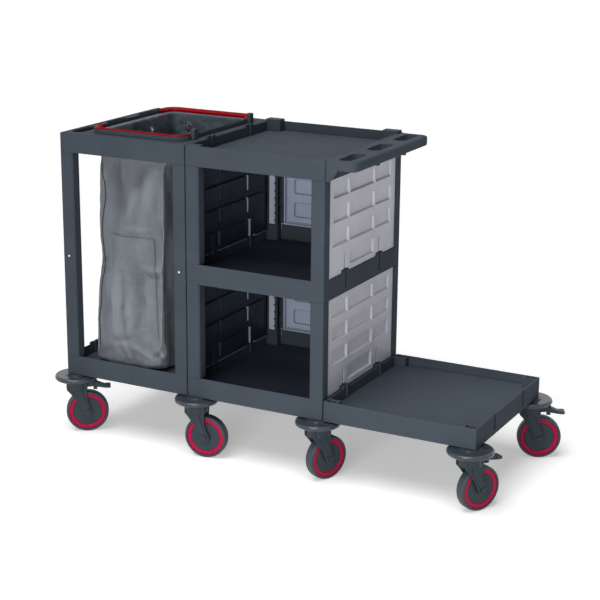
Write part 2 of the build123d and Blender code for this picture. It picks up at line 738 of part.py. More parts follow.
def make_brake_pedal():
    """Foot pedal with its hub, sloping arm, broad tip and brake shoe."""
    hub_r = pedal_hub_diameter / 2
    x0 = pedal_pivot_x
    x1 = x0 + pedal_reach
    tip_x = x1 - pedal_tip_length
    top = pedal_pivot_z + hub_r
    tip_top = pedal_pivot_z - pedal_tip_drop
    tip_bottom = tip_top - pedal_tip_thickness
    outline = Polyline((x0, top), (x0 + hub_r, top), (tip_x, tip_top), (tip_x, tip_bottom),
                       (x0, pedal_pivot_z - hub_r), (x0, top))
    half = pedal_width / 2
    pedal = extrude(Plane.XZ * make_face(outline), half, both=True)
    pedal += rod(pedal_hub_diameter, -half, half, x0, pedal_pivot_z)
    tip = block(tip_x, x1, -pedal_tip_width / 2, pedal_tip_width / 2, tip_bottom, tip_top)
    pedal += fillet(tip.edges(), pedal_tip_radius)
    shoe_x = x0 + hub_r
    from_axle = shoe_x - caster_trail
    tyre_z = wheel_radius + sqrt(wheel_radius ** 2 - from_axle ** 2)
    pedal += block(shoe_x, shoe_x + brake_shoe_length, -half / 2, half / 2, tyre_z + brake_shoe_gap, top)
    pedal -= rod(pedal_pin_diameter + 2 * pin_clearance, -half, half, x0, pedal_pivot_z)
    return pedal


def add(name, *pieces, at=Pos(0, 0, 0)):
    """Place one node's solids in the cart."""
    nodes[name] = [at * piece for piece in pieces]


def add_trays():
    """Five trays and the bag module's top frame."""
    four = tuple(post_corners(shelf_module_width))
    right = ("front_right", "rear_right")
    left = ("front_left", "rear_left")
    add("base_tray_left", make_tray(bag_module_width, False, four, left), at=Pos(0, 0, rail_bottom))
    add("base_tray_middle", make_tray(shelf_module_width, False, four, four, upstand=True),
        at=Pos(shelf_x, 0, rail_bottom))
    add("base_tray_right", make_tray(platform_width, False, four, right, plain_right=True),
        at=Pos(platform_x, 0, rail_bottom))
    add("middle_tray", make_tray(shelf_module_width, True, four, upstand=True),
        at=Pos(shelf_x, 0, middle_bottom))
    add("top_tray", make_tray(shelf_module_width, True, (), pad_height=top_pad_height, plain_right=True),
        at=Pos(shelf_x, 0, top_bottom))
    add("bag_top_frame", make_bag_frame(), at=Pos(0, 0, top_bottom))
    add("push_handle", make_push_handle(), at=Pos(shelf_x + shelf_module_width + handle_gap, 0, top_bottom))


def add_posts():
    """Four long posts in the bag module, and a lower and an upper post at each shelf corner."""
    for name, (x, y) in post_corners(bag_module_width).items():
        post = make_post(bag_post_length, "front" in name, "left" in name, False)
        head_y, tail_y = (0, screw_length) if "front" in name else (post_depth, post_depth - screw_length)
        z = screw_height_share * bag_post_length
        post -= rod(screw_diameter + 2 * screw_clearance, *sorted((head_y, tail_y)), post_width / 2, z)
        add("post_bag_" + name, post, at=Pos(x, y, base_top))
    for name, (x, y) in post_corners(shelf_module_width).items():
        post = make_post(post_length, "front" in name, "left" in name, "rear" in name)
        add("post_shelf_" + name, post, Pos(0, 0, middle_top - base_top) * post,
            at=Pos(shelf_x + x, y, base_top))


def add_panels():
    """Two end panels on each side of the shelf module and two rear panels."""
    panel = make_side_panel()
    y = post_depth + panel_clearance
    mirrored = mirror(panel, about=Plane.YZ)
    rear = make_rear_panel()
    rear_x = shelf_x + post_width + rear_panel_gap
    rear_y = module_depth - panel_flange_thickness - panel_clearance / 2
    for level, z in (("lower", base_top), ("upper", middle_top)):
        low = z + panel_clearance
        add("side_panel_left_" + level, panel, at=Pos(shelf_x + panel_setback, y, low))
        add("side_panel_right_" + level, mirrored,
            at=Pos(shelf_x + shelf_module_width - panel_setback, y, low))
        add("rear_panel_" + level, rear, at=Pos(rear_x, rear_y, low + rear_upstand_height))


def add_bag_holder():
    """Bag with its eyelets, the collar and the two hinged clamps."""
    add("bag_collar", make_collar())
    add("bag_clamp_front", make_clamp(True))
    add("bag_clamp_rear", make_clamp(False))
    add("clamp_pins", *make_clamp_pins())
    add("laundry_bag", make_bag())
    add("bag_eyelets", *make_eyelets())


def add_small_parts():
    """Post screws, and the keys in the facing slots of neighbouring trays."""
    screws = []
    z = base_top + screw_height_share * bag_post_length
    for x, y in post_corners(bag_module_width).values():
        cx = x + post_width / 2
        outer, out = (0, -1) if y == 0 else (module_depth, 1)
        head = sorted((outer, outer + out * screw_head_height))
        shank = sorted((outer, outer - out * screw_length))
        screws.append(rod(screw_head_diameter, *head, cx, z) + rod(screw_diameter, *shank, cx, z))
    add("frame_screws", *screws)
    keys = []
    key_half = slot_width / 2 - key_clearance
    reach = slot_depth - key_clearance
    joints = ((bag_module_width, rail_bottom), (shelf_x + shelf_module_width, rail_bottom),
              (bag_module_width, top_bottom))
    for x, z in joints:
        for y in connector_ys:
            keys.append(block(x - reach, x + module_gap + reach, y - key_half, y + key_half,
                              z + tray_height - slot_length, z + tray_height))
    add("module_keys", *keys)


def caster_places():
    """Name, swivel position, heading and brake of every caster."""
    places = []
    rows = (("front", caster_inset_y, front_headings),
            ("rear", module_depth - caster_inset_y, rear_headings))
    for row, y, headings in rows:
        for column, x in enumerate(caster_xs):
            places.append((f"{row}_{column + 1}", x, y, headings[column], column in braked_columns))
    return places


def add_casters():
    """Eight casters: fixed stems and bumper discs, then fork, wheel and pedal as moving pieces."""
    stem = upright(stem_diameter, 0, 0, crown_bottom, rail_bottom + stem_insert)
    head_z = crown_bottom + stem_head_clearance
    stem += upright(stem_head_diameter, 0, 0, head_z, head_z + stem_head_thickness)
    bumper = upright(bumper_diameter, 0, 0, bumper_bottom, bumper_top)
    bumper = fillet(bumper.edges().filter_by(GeomType.CIRCLE), bumper_edge_radius)
    bumper += upright(bumper_hub_diameter, 0, 0, bumper_top, rail_bottom)
    bumper -= upright(stem_diameter + 2 * stem_clearance, 0, 0, bumper_bottom, rail_bottom)
    forks = {braked: make_fork(braked) for braked in (False, True)}
    core = make_wheel_core()
    tyre = make_tyre()
    pedal = make_brake_pedal()
    places = caster_places()
    add("caster_stems", *(Pos(x, y, 0) * stem for _, x, y, _, _ in places))
    add("caster_bumpers", *(Pos(x, y, 0) * bumper for _, x, y, _, _ in places))
    for name, x, y, heading, braked in places:
        at = Pos(x, y, 0) * Rot(0, 0, heading)
        add("caster_fork_" + name, *forks[braked], at=at)
        add("wheel_core_" + name, core, at=at)
        add("tyre_" + name, tyre, at=at)
        if braked:
            add("brake_pedal_" + name, pedal, at=at)


add_trays()
add_posts()
add_panels()
add_bag_holder()
add_small_parts()
add_casters()

# The origin goes to the floor under the middle of the whole cart.
footprint = Compound([solid for solids in nodes.values() for solid in solids]).bounding_box()
origin_x = (footprint.min.X + footprint.max.X) / 2
origin_y = (footprint.min.Y + footprint.max.Y) / 2

os.makedirs("parts", exist_ok=True)
for node, solids in nodes.items():
    moved = [Pos(-origin_x, -origin_y, 0) * solid for solid in solids]
    export_step(Compound(moved), f"parts/{node}.step")
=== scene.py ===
import math

import bmesh
import bpy
import numpy as np
from mathutils import Matrix, Vector, noise
from mathutils.bvhtree import BVHTree


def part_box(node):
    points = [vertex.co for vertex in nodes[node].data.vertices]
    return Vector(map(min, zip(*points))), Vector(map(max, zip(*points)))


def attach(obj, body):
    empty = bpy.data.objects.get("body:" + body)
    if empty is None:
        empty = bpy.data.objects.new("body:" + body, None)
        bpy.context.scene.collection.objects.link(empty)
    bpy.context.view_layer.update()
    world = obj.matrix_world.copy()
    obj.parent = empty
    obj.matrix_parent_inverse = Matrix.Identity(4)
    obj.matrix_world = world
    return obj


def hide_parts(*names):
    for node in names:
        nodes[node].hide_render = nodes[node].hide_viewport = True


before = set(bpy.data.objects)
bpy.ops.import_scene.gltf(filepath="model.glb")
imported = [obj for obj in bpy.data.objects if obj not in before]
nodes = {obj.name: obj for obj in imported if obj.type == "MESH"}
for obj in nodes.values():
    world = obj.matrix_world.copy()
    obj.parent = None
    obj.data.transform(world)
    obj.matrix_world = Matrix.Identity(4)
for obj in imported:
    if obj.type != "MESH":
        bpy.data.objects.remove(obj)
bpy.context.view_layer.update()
scene = bpy.context.scene

# The part's source lays the cart out in millimetres from its front left corner on the floor.
MM_PER_M = 1000
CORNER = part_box("base_tray_left")[0]


def at(x, y, z):
    """A point given in millimetres from the cart's front left corner, in the row frame."""
    return Vector((CORNER.x + x / MM_PER_M, CORNER.y + y / MM_PER_M, z / MM_PER_M))


# Sizes that the pieces made here share with the part's source, in millimetres
RAIL_BOTTOM = CORNER.z * MM_PER_M
TRAY_HEIGHT = 58.0
POST_LENGTH = 280.0
SHELF_X = 424.0
DEPTH = 493.0
POST_DEPTH = 32.0
DECK_HEIGHT = 3 * TRAY_HEIGHT + 2 * POST_LENGTH
COLLAR_LEDGE = 3.0
TRAY_FLOOR_HEIGHT = 30.0
CASTER_XS = (21.0, 445.0, 840.0, 1296.0)
BUMPER_HUB_HEIGHT = 3.5


# Materials

def srgb(r, g, b):
    """A colour given as 0 to 255 screen values, as the linear values that shaders use."""
    out = []
    for c in (r, g, b):
        c /= 255
        out.append(c / 12.92 if c <= 0.04045 else ((c + 0.055) / 1.055) ** 2.4)
    return (*out, 1.0)


def shade(colour, factor):
    """A colour made darker or lighter by a factor."""
    return tuple(c * factor for c in colour[:3]) + (1.0,)


# Masks: a pair says where the mask starts and where it is full
CORNER_SAMPLES = 6
CORNER_TURN = (0.995, 0.82)
GROOVE_SAMPLES = 8
GROOVE_REACH = 0.007
GROOVE_LIGHT = (0.92, 0.5)
POCKET_END_SAMPLES = 8
POCKET_END_RADIUS = 0.006
POCKET_END_LOOK = (-0.25, -0.7)
POCKET_END_ALONG = (0.4, 0.68)
RECESS_MARGIN = 0.009
RECESS_TOP = 0.73
RECESS_ALONG = (0.8, 0.07)


class Nodes:
    """A material with its node tree, and short calls to add and join nodes."""

    def __init__(self, name):
        self.mat = bpy.data.materials.new(name)
        self.mat.use_nodes = True
        self.tree = self.mat.node_tree
        self.shader = self.tree.nodes["Principled BSDF"]
        self.coord = self.add("ShaderNodeTexCoord").outputs["Object"]

    def feed(self, socket, value):
        """Join another node's socket to this one, or set it to a plain value."""
        if isinstance(value, bpy.types.NodeSocket):
            self.tree.links.new(value, socket)
        else:
            socket.default_value = value

    def add(self, kind, links=None, **values):
        """A new node with its own settings and what its sockets are fed."""
        node = self.tree.nodes.new(kind)
        for key, value in values.items():
            setattr(node, key, value)
        for key, value in (links or {}).items():
            self.feed(node.inputs[key], value)
        return node

    def put(self, name, value):
        """Feed one of the shader's own sockets."""
        self.feed(self.shader.inputs[name], value)

    def split(self, vector):
        """The X, Y and Z sockets of a vector."""
        return self.add("ShaderNodeSeparateXYZ", {"Vector": vector}).outputs

    def stretch(self, x, y, z):
        """The object's coordinates, stretched along each axis."""
        links = {"Vector": self.coord, "Scale": (x, y, z)}
        return self.add("ShaderNodeMapping", links).outputs[0]

    def noise(self, scale, detail, rough=0.55, vector=None):
        """Noise whose scale is per metre."""
        links = {"Vector": vector or self.coord, "Scale": scale, "Detail": detail,
                 "Roughness": rough}
        return self.add("ShaderNodeTexNoise", links).outputs["Fac"]

    def math(self, operation, a, b=0.0):
        return self.add("ShaderNodeMath", {0: a, 1: b}, operation=operation).outputs[0]

    def times(self, a, b):
        return self.math("MULTIPLY", a, b)

    def spread(self, value, low, high, to_low=0.0, to_high=1.0):
        """Spread a span of values out from one value to another, and stop at both."""
        links = {"Value": value, "From Min": low, "From Max": high,
                 "To Min": to_low, "To Max": to_high}
        return self.add("ShaderNodeMapRange", links).outputs["Result"]

    def layer(self, scale, detail, rough, low, high, to=(0.0, 1.0), vector=None):
        """Noise with one span of its values spread out."""
        return self.spread(self.noise(scale, detail, rough, vector), low, high, *to)

    def mix(self, factor, a, b):
        """The colour between two colours."""
        node = self.add("ShaderNodeMix", {0: factor, 6: a, 7: b}, data_type="RGBA")
        return node.outputs[2]

    def edges(self, radius):
        """A mask that is 1 along outer and inner corners, and the softened normal."""
        soft = self.add("ShaderNodeBevel", {"Radius": radius}, samples=CORNER_SAMPLES).outputs[0]
        plain = self.add("ShaderNodeNewGeometry").outputs["Normal"]
        dot = self.add("ShaderNodeVectorMath", {0: soft, 1: plain}, operation="DOT_PRODUCT")
        return self.spread(dot.outputs["Value"], *CORNER_TURN), soft

    def groove_shade_mask(self):
        """A mask of painted shade: 1 in grooves and inner corners, where little light comes."""
        links = {"Distance": GROOVE_REACH}
        node = self.add("ShaderNodeAmbientOcclusion", links, samples=GROOVE_SAMPLES)
        return self.spread(node.outputs["AO"], *GROOVE_LIGHT)

    def pocket_end_highlight_mask(self):
        """A mask of painted highlights: 1 on walls that look to the front, stronger towards a
        panel's rear.
        """
        links = {"Radius": POCKET_END_RADIUS}
        normal = self.add("ShaderNodeBevel", links, samples=POCKET_END_SAMPLES).outputs[0]
        look = self.split(normal)["Y"]
        along = self.split(self.add("ShaderNodeTexCoord").outputs["Generated"])["Y"]
        return self.times(self.spread(look, *POCKET_END_LOOK),
                          self.spread(along, *POCKET_END_ALONG))

    def recess_shade(self):
        """A mask of painted shade in a tray's recess, stronger towards the front, as shares of the
        tray's box.
        """
        place = self.split(self.add("ShaderNodeTexCoord").outputs["Generated"])
        mask = self.math("LESS_THAN", place["Z"], RECESS_TOP)
        mask = self.times(mask, self.spread(place["Y"], *RECESS_ALONG))
        for axis in "XY":
            off = self.math("ABSOLUTE", self.math("SUBTRACT", place[axis], 0.5))
            mask = self.times(mask, self.math("LESS_THAN", off, 0.5 - RECESS_MARGIN))
        return mask

    def bump(self, height, strength, distance, normal=None):
        """The normal bent by a height, on top of another normal where one is given."""
        links = {"Height": height, "Strength": strength, "Distance": distance}
        if normal is not None:
            links["Normal"] = normal
        return self.add("ShaderNodeBump", links).outputs[0]


# Layers of noise: scale per metre, detail, roughness, and the span of values that is spread out
CLOUD = (9.0, 4.0, 0.55, 0.3, 0.7)
MOTTLE = (70.0, 3.0, 0.55, 0.25, 0.75)
# Patches of the rubbed edges, which also paint highlights along the edges
WORN_AND_HIGHLIT_EDGES = (45.0, 4.0, 0.55, 0.3, 0.62)
SCUFF = (26.0, 6.0, 0.7, 0.35, 0.7)
BLOOM = (38.0, 5.0, 0.65, 0.32, 0.7)
FADING = (15.0, 4.0, 0.55, 0.34, 0.68)
SLUB = (140.0, 2.0, 0.55, 0.3, 0.7)
FLOOR_CLOUD = (1.2, 2.0, 0.55, 0.3, 0.7)

# Moulded plastic: shares say how much of a layer shows, and shades are factors of the colour
CLOUD_SHADES = (0.93, 1.06)
# The lean is painted light: darker to the left and lighter to the right of the cart, where the
# light is stronger
CLOUD_SHARE, LEAN_SHARE = 0.4, 0.6
LEAN_FROM_TO = (-0.72, 0.72)
MOTTLE_SHARE, MOTTLE_SHADE = 0.35, 1.05
WORN_AND_HIGHLIT_SHARES = (0.25, 0.75)
EDGE_RADIUS = 0.0016
# How dark the painted shade in grooves gets, and the colour of the painted shade in a tray's recess
GROOVE_PAINTED_SHADE = 0.12
RECESS_PAINTED_SHADE = srgb(25, 29, 39)
SMOOTHER, ROUGHER = 0.06, 0.08
GRAIN, PEBBLE, PEBBLE_SHARE = (1500.0, 2.0), (420.0, 2.0), 0.6
GRAIN_DEPTH = 0.00035


def moulded(name, colour, rough, grain=0.25, edge_wear_and_highlight=1.45, specular=0.28, painted_groove_shade=0.0,
            recess_shade=0.0, ends=None, painted_light_lean=0.0):
    """Moulded plastic: fine grain, faint cloudy colour, rubbed edges that also paint highlights,
    and painted shade in grooves.

    The painted light lean makes it darker to the left and lighter to the right of the cart, ends
    is the colour of painted highlights on the pockets' front-facing walls, and the recess shade
    is how dark the painted shade in a tray's recess is.
    the pockets' ends, and recess is how dark a tray's recess is.
    """
    n = Nodes(name)
    cloud = n.layer(*CLOUD)
    # Painted light: darker to the left and lighter to the right of the cart
    if painted_light_lean:
        painted_light_leaning = n.spread(n.split(n.coord)["X"], *LEAN_FROM_TO, 0.0, LEAN_SHARE)
        cloud = n.math("ADD", n.times(cloud, CLOUD_SHARE), painted_light_leaning)
    dark, light = CLOUD_SHADES
    base = n.mix(cloud, shade(colour, dark - painted_light_lean), shade(colour, light + painted_light_lean))
    base = n.mix(n.times(n.layer(*MOTTLE), MOTTLE_SHARE), base, shade(colour, MOTTLE_SHADE))
    # Rubbed edges made lighter, which also paint highlights along the edges
    mask, soft = n.edges(EDGE_RADIUS)
    wear_and_highlight = n.times(mask, n.layer(*WORN_AND_HIGHLIT_EDGES, to=WORN_AND_HIGHLIT_SHARES))
    base = n.mix(wear_and_highlight, base, shade(colour, edge_wear_and_highlight))
    # Painted shade in grooves and inner corners
    if painted_groove_shade:
        base = n.mix(n.times(n.groove_shade_mask(), painted_groove_shade), base, shade(colour, GROOVE_PAINTED_SHADE))
    # Painted highlights on the pockets' front-facing walls
    if ends:
        base = n.mix(n.pocket_end_highlight_mask(), base, ends)
    # Painted shade in a tray's recess, darker towards the front
    if recess_shade:
        base = n.mix(n.times(n.recess_shade(), recess_shade), base, RECESS_PAINTED_SHADE)
    n.put("Base Color", base)
    n.put("Roughness", n.layer(*SCUFF, to=(rough - SMOOTHER, rough + ROUGHER)))
    n.put("Specular IOR Level", specular)
    fine = n.math("ADD", n.noise(*GRAIN), n.times(n.noise(*PEBBLE), PEBBLE_SHARE))
    n.put("Normal", n.bump(fine, grain, GRAIN_DEPTH, soft))
    return n.mat


# Steel: the lines' scale, detail and roughness, and the stretch that makes lines of them
BRUSHING, BRUSH_STRETCH = (320.0, 4.0, 0.6), (1.0, 1.0, 14.0)
BRUSH_SPAN = (0.3, 0.7)
BRUSH_SHADES = (0.82, 1.08)
BRUSH_SMOOTHER, BRUSH_ROUGHER = 0.06, 0.12
BRUSH_STRENGTH, BRUSH_DEPTH = 0.15, 0.0002
STEEL_EDGE = 0.0006


def metal(name, colour, rough):
    """Plated steel with fine brushing."""
    n = Nodes(name)
    lines = n.noise(*BRUSHING, n.stretch(*BRUSH_STRETCH))
    dark, light = (shade(colour, factor) for factor in BRUSH_SHADES)
    n.put("Base Color", n.mix(n.spread(lines, *BRUSH_SPAN), dark, light))
    n.put("Metallic", 1.0)
    n.put("Roughness", n.spread(lines, *BRUSH_SPAN, rough - BRUSH_SMOOTHER, rough + BRUSH_ROUGHER))
    n.put("Normal", n.bump(lines, BRUSH_STRENGTH, BRUSH_DEPTH, n.edges(STEEL_EDGE)[1]))
    return n.mat


BLOOM_SHADES = (0.85, 1.15)
BLOOM_ROUGHER = 0.08
RUBBER_EDGE, RUBBER_EDGE_SHARE, RUBBER_EDGE_SHADE = 0.0012, 0.3, 1.5
PITS, PIT_STRENGTH, PIT_DEPTH = (900.0, 3.0), 0.3, 0.0004


def rubber(name, colour, rough, specular):
    """Tyre or bumper rubber: soft bloom, tiny pits and scuffed edges."""
    n = Nodes(name)
    bloom = n.layer(*BLOOM)
    mask, soft = n.edges(RUBBER_EDGE)
    dark, light = (shade(colour, factor) for factor in BLOOM_SHADES)
    base = n.mix(bloom, dark, light)
    base = n.mix(n.times(mask, RUBBER_EDGE_SHARE), base, shade(colour, RUBBER_EDGE_SHADE))
    n.put("Base Color", base)
    n.put("Roughness", n.spread(bloom, 0.0, 1.0, rough - BLOOM_ROUGHER, rough + BLOOM_ROUGHER))
    n.put("Specular IOR Level", specular)
    n.put("Normal", n.bump(n.noise(*PITS), PIT_STRENGTH, PIT_DEPTH, soft))
    return n.mat


FADING_STRETCH = (1.0, 1.0, 0.32)
SLUB_SHARE, SLUB_SHADE = 0.22, 1.12
WEAVE_SHARE, WEAVE_SHADE = 0.16, 0.7
# Painted light and shade: how much shows, and the paler and darker shades
PAINTED_SHADING_SHARE, PAINTED_PALE_SHADE, PAINTED_DARK_SHADE = 0.5, 1.3, 0.6
FADED_SMOOTHER, FADED_ROUGHER = 0.08, 0.06
WEAVE_HEIGHT, CRUMPLE = 0.25, (90.0, 4.0, 0.6)
CRUMPLE_STRENGTH, CRUMPLE_DEPTH = 0.35, 0.0008
CRUSH, CRUSH_DEPTH = (12.0, 2.0, 0.45), 0.05


def cloth(name, colour, light, thread=0.0011, rough=0.7, crush=0.0):
    """Coated woven cloth: crossing threads, streaky fading, and a stored share of painted light and
    shade: paler on folds that stand out, darker in folds and on the sides.
    """
    n = Nodes(name)
    place = n.split(n.coord)
    turn = 2 * math.pi / thread
    around = n.math("ADD", place["X"], place["Y"])
    warp = n.math("SINE", n.times(around, turn))
    weft = n.math("SINE", n.times(place["Z"], turn))
    weave = n.times(warp, weft)
    fade = n.layer(*FADING, vector=n.stretch(*FADING_STRETCH))
    base = n.mix(fade, colour, light)
    base = n.mix(n.times(n.layer(*SLUB), SLUB_SHARE), base, shade(light, SLUB_SHADE))
    base = n.mix(n.spread(weave, -1.0, 1.0, 0.0, WEAVE_SHARE), base, shade(colour, WEAVE_SHADE))
    # A stored share of painted light and shade: above 0 paler, below 0 darker
    painted_shading = n.add("ShaderNodeAttribute", attribute_name="painted_shading").outputs["Fac"]
    painted_pale_share = n.spread(painted_shading, 0.0, 1.0, 0.0, PAINTED_SHADING_SHARE)
    painted_dark_share = n.spread(painted_shading, 0.0, -1.0, 0.0, PAINTED_SHADING_SHARE)
    base = n.mix(painted_pale_share, base, shade(light, PAINTED_PALE_SHADE))
    base = n.mix(painted_dark_share, base, shade(colour, PAINTED_DARK_SHADE))
    n.put("Base Color", base)
    n.put("Roughness", n.spread(fade, 0.0, 1.0, rough - FADED_SMOOTHER, rough + FADED_ROUGHER))
    n.put("Sheen Weight", 0.25)
    n.put("Sheen Roughness", 0.45)
    n.put("Specular IOR Level", 0.3)
    crumple = n.math("ADD", n.times(weave, WEAVE_HEIGHT), n.noise(*CRUMPLE))
    creased = None
    if crush:
        ridge = n.math("ABSOLUTE", n.math("SUBTRACT", n.noise(*CRUSH), 0.5))
        creased = n.bump(ridge, crush, CRUSH_DEPTH)
    n.put("Normal", n.bump(crumple, CRUMPLE_STRENGTH, CRUMPLE_DEPTH, creased))
    return n.mat


def dress(material, *prefixes):
    """Give a material to every CAD node whose name starts with one of the prefixes."""
    for name, obj in nodes.items():
        if name.startswith(prefixes):
            obj.data.materials.clear()
            obj.data.materials.append(material)
            obj.data.polygons.foreach_set("material_index", [0] * len(obj.data.polygons))


# The frame's look, with the painted light lean and painted shade in its grooves
FRAME_LOOK = {"rough": 0.6, "specular": 0.02, "painted_groove_shade": 0.35, "painted_light_lean": 0.14}
frame_grey = moulded("frame_grey", srgb(73, 81, 90), **FRAME_LOOK)
# The shelf trays: the frame's colour with painted shade in their recesses
shelf_grey_shaded_recess = moulded("shelf_grey_shaded_recess", srgb(73, 81, 90), recess_shade=0.93, **FRAME_LOOK)
caster_grey = moulded("caster_grey", srgb(60, 70, 77), rough=0.4, grain=0.2, specular=0.15,
                      painted_groove_shade=0.4)
# The left panels' pockets get painted highlights on their front-facing walls
panel_dark = moulded("panel_dark", srgb(41, 49, 63), rough=0.44, grain=0.12, edge_wear_and_highlight=1.3,
                     specular=0.25, painted_groove_shade=0.5, ends=srgb(200, 207, 217))
panel_light = moulded("panel_light", srgb(220, 219, 229), rough=0.5, grain=0.2, edge_wear_and_highlight=1.1,
                      painted_groove_shade=0.3)
panel_rear = moulded("panel_rear", srgb(192, 206, 228), rough=0.46, grain=0.2, edge_wear_and_highlight=1.15,
                     painted_groove_shade=0.75)
trim_grey = moulded("trim_grey", srgb(204, 210, 222), rough=0.45, grain=0.2, edge_wear_and_highlight=1.2)
# The foot lips' pale colour paints the highlight along the panels' feet
lip_highlight_grey = moulded("lip_highlight_grey", srgb(138, 146, 158), rough=0.5, grain=0.2, edge_wear_and_highlight=1.2)
clamp_red = moulded("clamp_red", srgb(150, 0, 16), rough=0.36, grain=0.08, edge_wear_and_highlight=1.5,
                    specular=0.1)
wheel_red = moulded("wheel_red", srgb(184, 6, 66), rough=0.36, grain=0.12, edge_wear_and_highlight=1.4,
                    specular=0.2)
steel = metal("zinc_steel", srgb(214, 216, 220), rough=0.26)
pin_steel = metal("dark_pin_steel", srgb(52, 55, 60), rough=0.4)
tyre_rubber = rubber("tyre_rubber", srgb(54, 63, 71), rough=0.55, specular=0.45)
bumper_rubber = rubber("bumper_rubber", srgb(54, 62, 70), rough=0.22, specular=0.45)
bag_cloth = cloth("bag_cloth", srgb(94, 100, 107), srgb(126, 131, 138), rough=0.55, crush=0.3)
# A darker copy of the bag's cloth for its inside: painted shade
bag_inside_shaded = cloth("bag_inside_shaded", srgb(72, 83, 92), srgb(98, 109, 118), rough=0.6, crush=0.5)
piping_cloth = cloth("piping_cloth", srgb(34, 37, 42), srgb(44, 48, 54), thread=0.0008)
edge_cloth = cloth("edge_cloth", srgb(132, 136, 141), srgb(150, 154, 158), thread=0.0008)
thread_grey = cloth("stitch_thread", srgb(128, 132, 137), srgb(146, 150, 154), thread=0.0005)

dress(frame_grey, "base_tray", "middle_tray", "top_tray", "bag_top_frame", "push_handle", "post_",
      "bag_collar", "module_keys")
dress(shelf_grey_shaded_recess, "base_tray_middle", "middle_tray")
dress(panel_dark, "side_panel_left")
dress(panel_light, "side_panel_right")
dress(panel_rear, "rear_panel")
dress(clamp_red, "bag_clamp")
dress(steel, "frame_screws", "caster_stems", "bag_eyelets")
dress(pin_steel, "clamp_pins")
dress(bumper_rubber, "caster_bumpers")
dress(caster_grey, "caster_fork", "brake_pedal")
dress(wheel_red, "wheel_core")
dress(tyre_rubber, "tyre_")


# Mesh helpers

def add_object(name, data):
    """A new object in the scene that shows a mesh, a lamp or a camera."""
    obj = bpy.data.objects.new(name, data)
    scene.collection.objects.link(obj)
    return obj


def new_object(name, verts, faces, material, smooth=True):
    """A mesh object from points in the row frame, riding on the frame."""
    mesh = bpy.data.meshes.new(name)
    mesh.from_pydata([tuple(v) for v in verts], [], faces)
    mesh.validate()
    mesh.update()
    if smooth:
        mesh.shade_smooth()
    obj = add_object(name, mesh)
    mesh.materials.append(material)
    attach(obj, "frame")
    return obj


def evaluated(obj):
    """The object as its modifiers make it."""
    return obj.evaluated_get(bpy.context.evaluated_depsgraph_get())


def thicken(obj, thickness):
    """Give a sheet its thickness, half of it on each side."""
    skin = obj.modifiers.new("thickness", "SOLIDIFY")
    skin.thickness = thickness
    skin.offset = 0.0
    return skin


def smooth_step(t):
    """From 0 to 1 with a soft start and end."""
    t = min(1.0, max(0.0, t))
    return t * t * (3 - 2 * t)


def ring_points(cx, cy, width, depth, radius, per_side, per_corner):
    """Points round a rounded rectangle, anticlockwise from the front side's left end."""
    hw, hd = width / 2, depth / 2
    points = []
    corners = ((hw - radius, -hd + radius, -90), (hw - radius, hd - radius, 0),
               (-hw + radius, hd - radius, 90), (-hw + radius, -hd + radius, 180))
    starts = ((-hw + radius, -hd), (hw, -hd + radius), (hw - radius, hd), (-hw, hd - radius))
    ends = ((hw - radius, -hd), (hw, hd - radius), (-hw + radius, hd), (-hw, -hd + radius))
    for side in range(4):
        (sx, sy), (ex, ey) = starts[side], ends[side]
        for i in range(per_side[side % 2]):
            t = i / per_side[side % 2]
            points.append((cx + sx + (ex - sx) * t, cy + sy + (ey - sy) * t))
        kx, ky, angle = corners[side]
        for i in range(per_corner):
            a = math.radians(angle + 90 * i / per_corner)
            points.append((cx + kx + radius * math.cos(a), cy + ky + radius * math.sin(a)))
    return points


def ring_faces(rings, sides, base=0):
    """Faces that join rings of points into a tube, with a cap on each end."""
    faces = []
    for r in range(rings - 1):
        low = base + r * sides
        high = low + sides
        for k in range(sides):
            m = (k + 1) % sides
            faces.append((low + k, low + m, high + m, high + k))
    last = base + (rings - 1) * sides
    faces.append(tuple(base + k for k in range(sides))[::-1])
    faces.append(tuple(last + k for k in range(sides)))
    return faces


# The laundry bag: heights are millimetres above the underside of the trays

BAG_SHEET = 1.2
# Left, right, front and rear
BAG_NECK = (106.7, 373.3, 54.7, 438.3)
BAG_FOOT = (64.0, 300.0, 61.0, 432.0)
NECK_CORNER = 18.0
SIDE_CORNER = 8.0
FOOT_CORNER = 18.0
NECK_CORNER_RUN = 60.0
FOOT_CORNER_RUN = 120.0
CORNER_POWER = 4
HEM_HEIGHT = DECK_HEIGHT + COLLAR_LEDGE + BAG_SHEET / 2 + 0.1
HEM_TURN = 1.6
HEM_STEPS = (20.0, 12.0, 5.0, 1.4)
HELD_HEIGHT = 690.0
NARROW_FROM, NARROW_TO = 694.0, 654.0
BELOW_NECK = (99.0, 322.0)
DENT, DENT_HEIGHT, DENT_REACH = 9.0, 360.0, 75.0
FOOT_HEIGHT = TRAY_FLOOR_HEIGHT + 2.0
FOOT_ROUND = 12.0
FOOT_CORNER_LIFT = 14.0
FOOT_LIFT_POWER = 3
SIDE_COUNT = (22, 34)
CORNER_COUNT = 5
ROW_COUNT = 64
FOOT_STEPS = (0.8, 0.62, 0.42, 0.2)


def rail_at(x, y, height):
    """A point whose height is given above the underside of the trays."""
    return at(x, y, RAIL_BOTTOM + height)


def rail_place(point):
    """X, Y and height of a point, in millimetres: what rail_at made it from."""
    return ((point.x - CORNER.x) * MM_PER_M, (point.y - CORNER.y) * MM_PER_M,
            point.z * MM_PER_M - RAIL_BOTTOM)


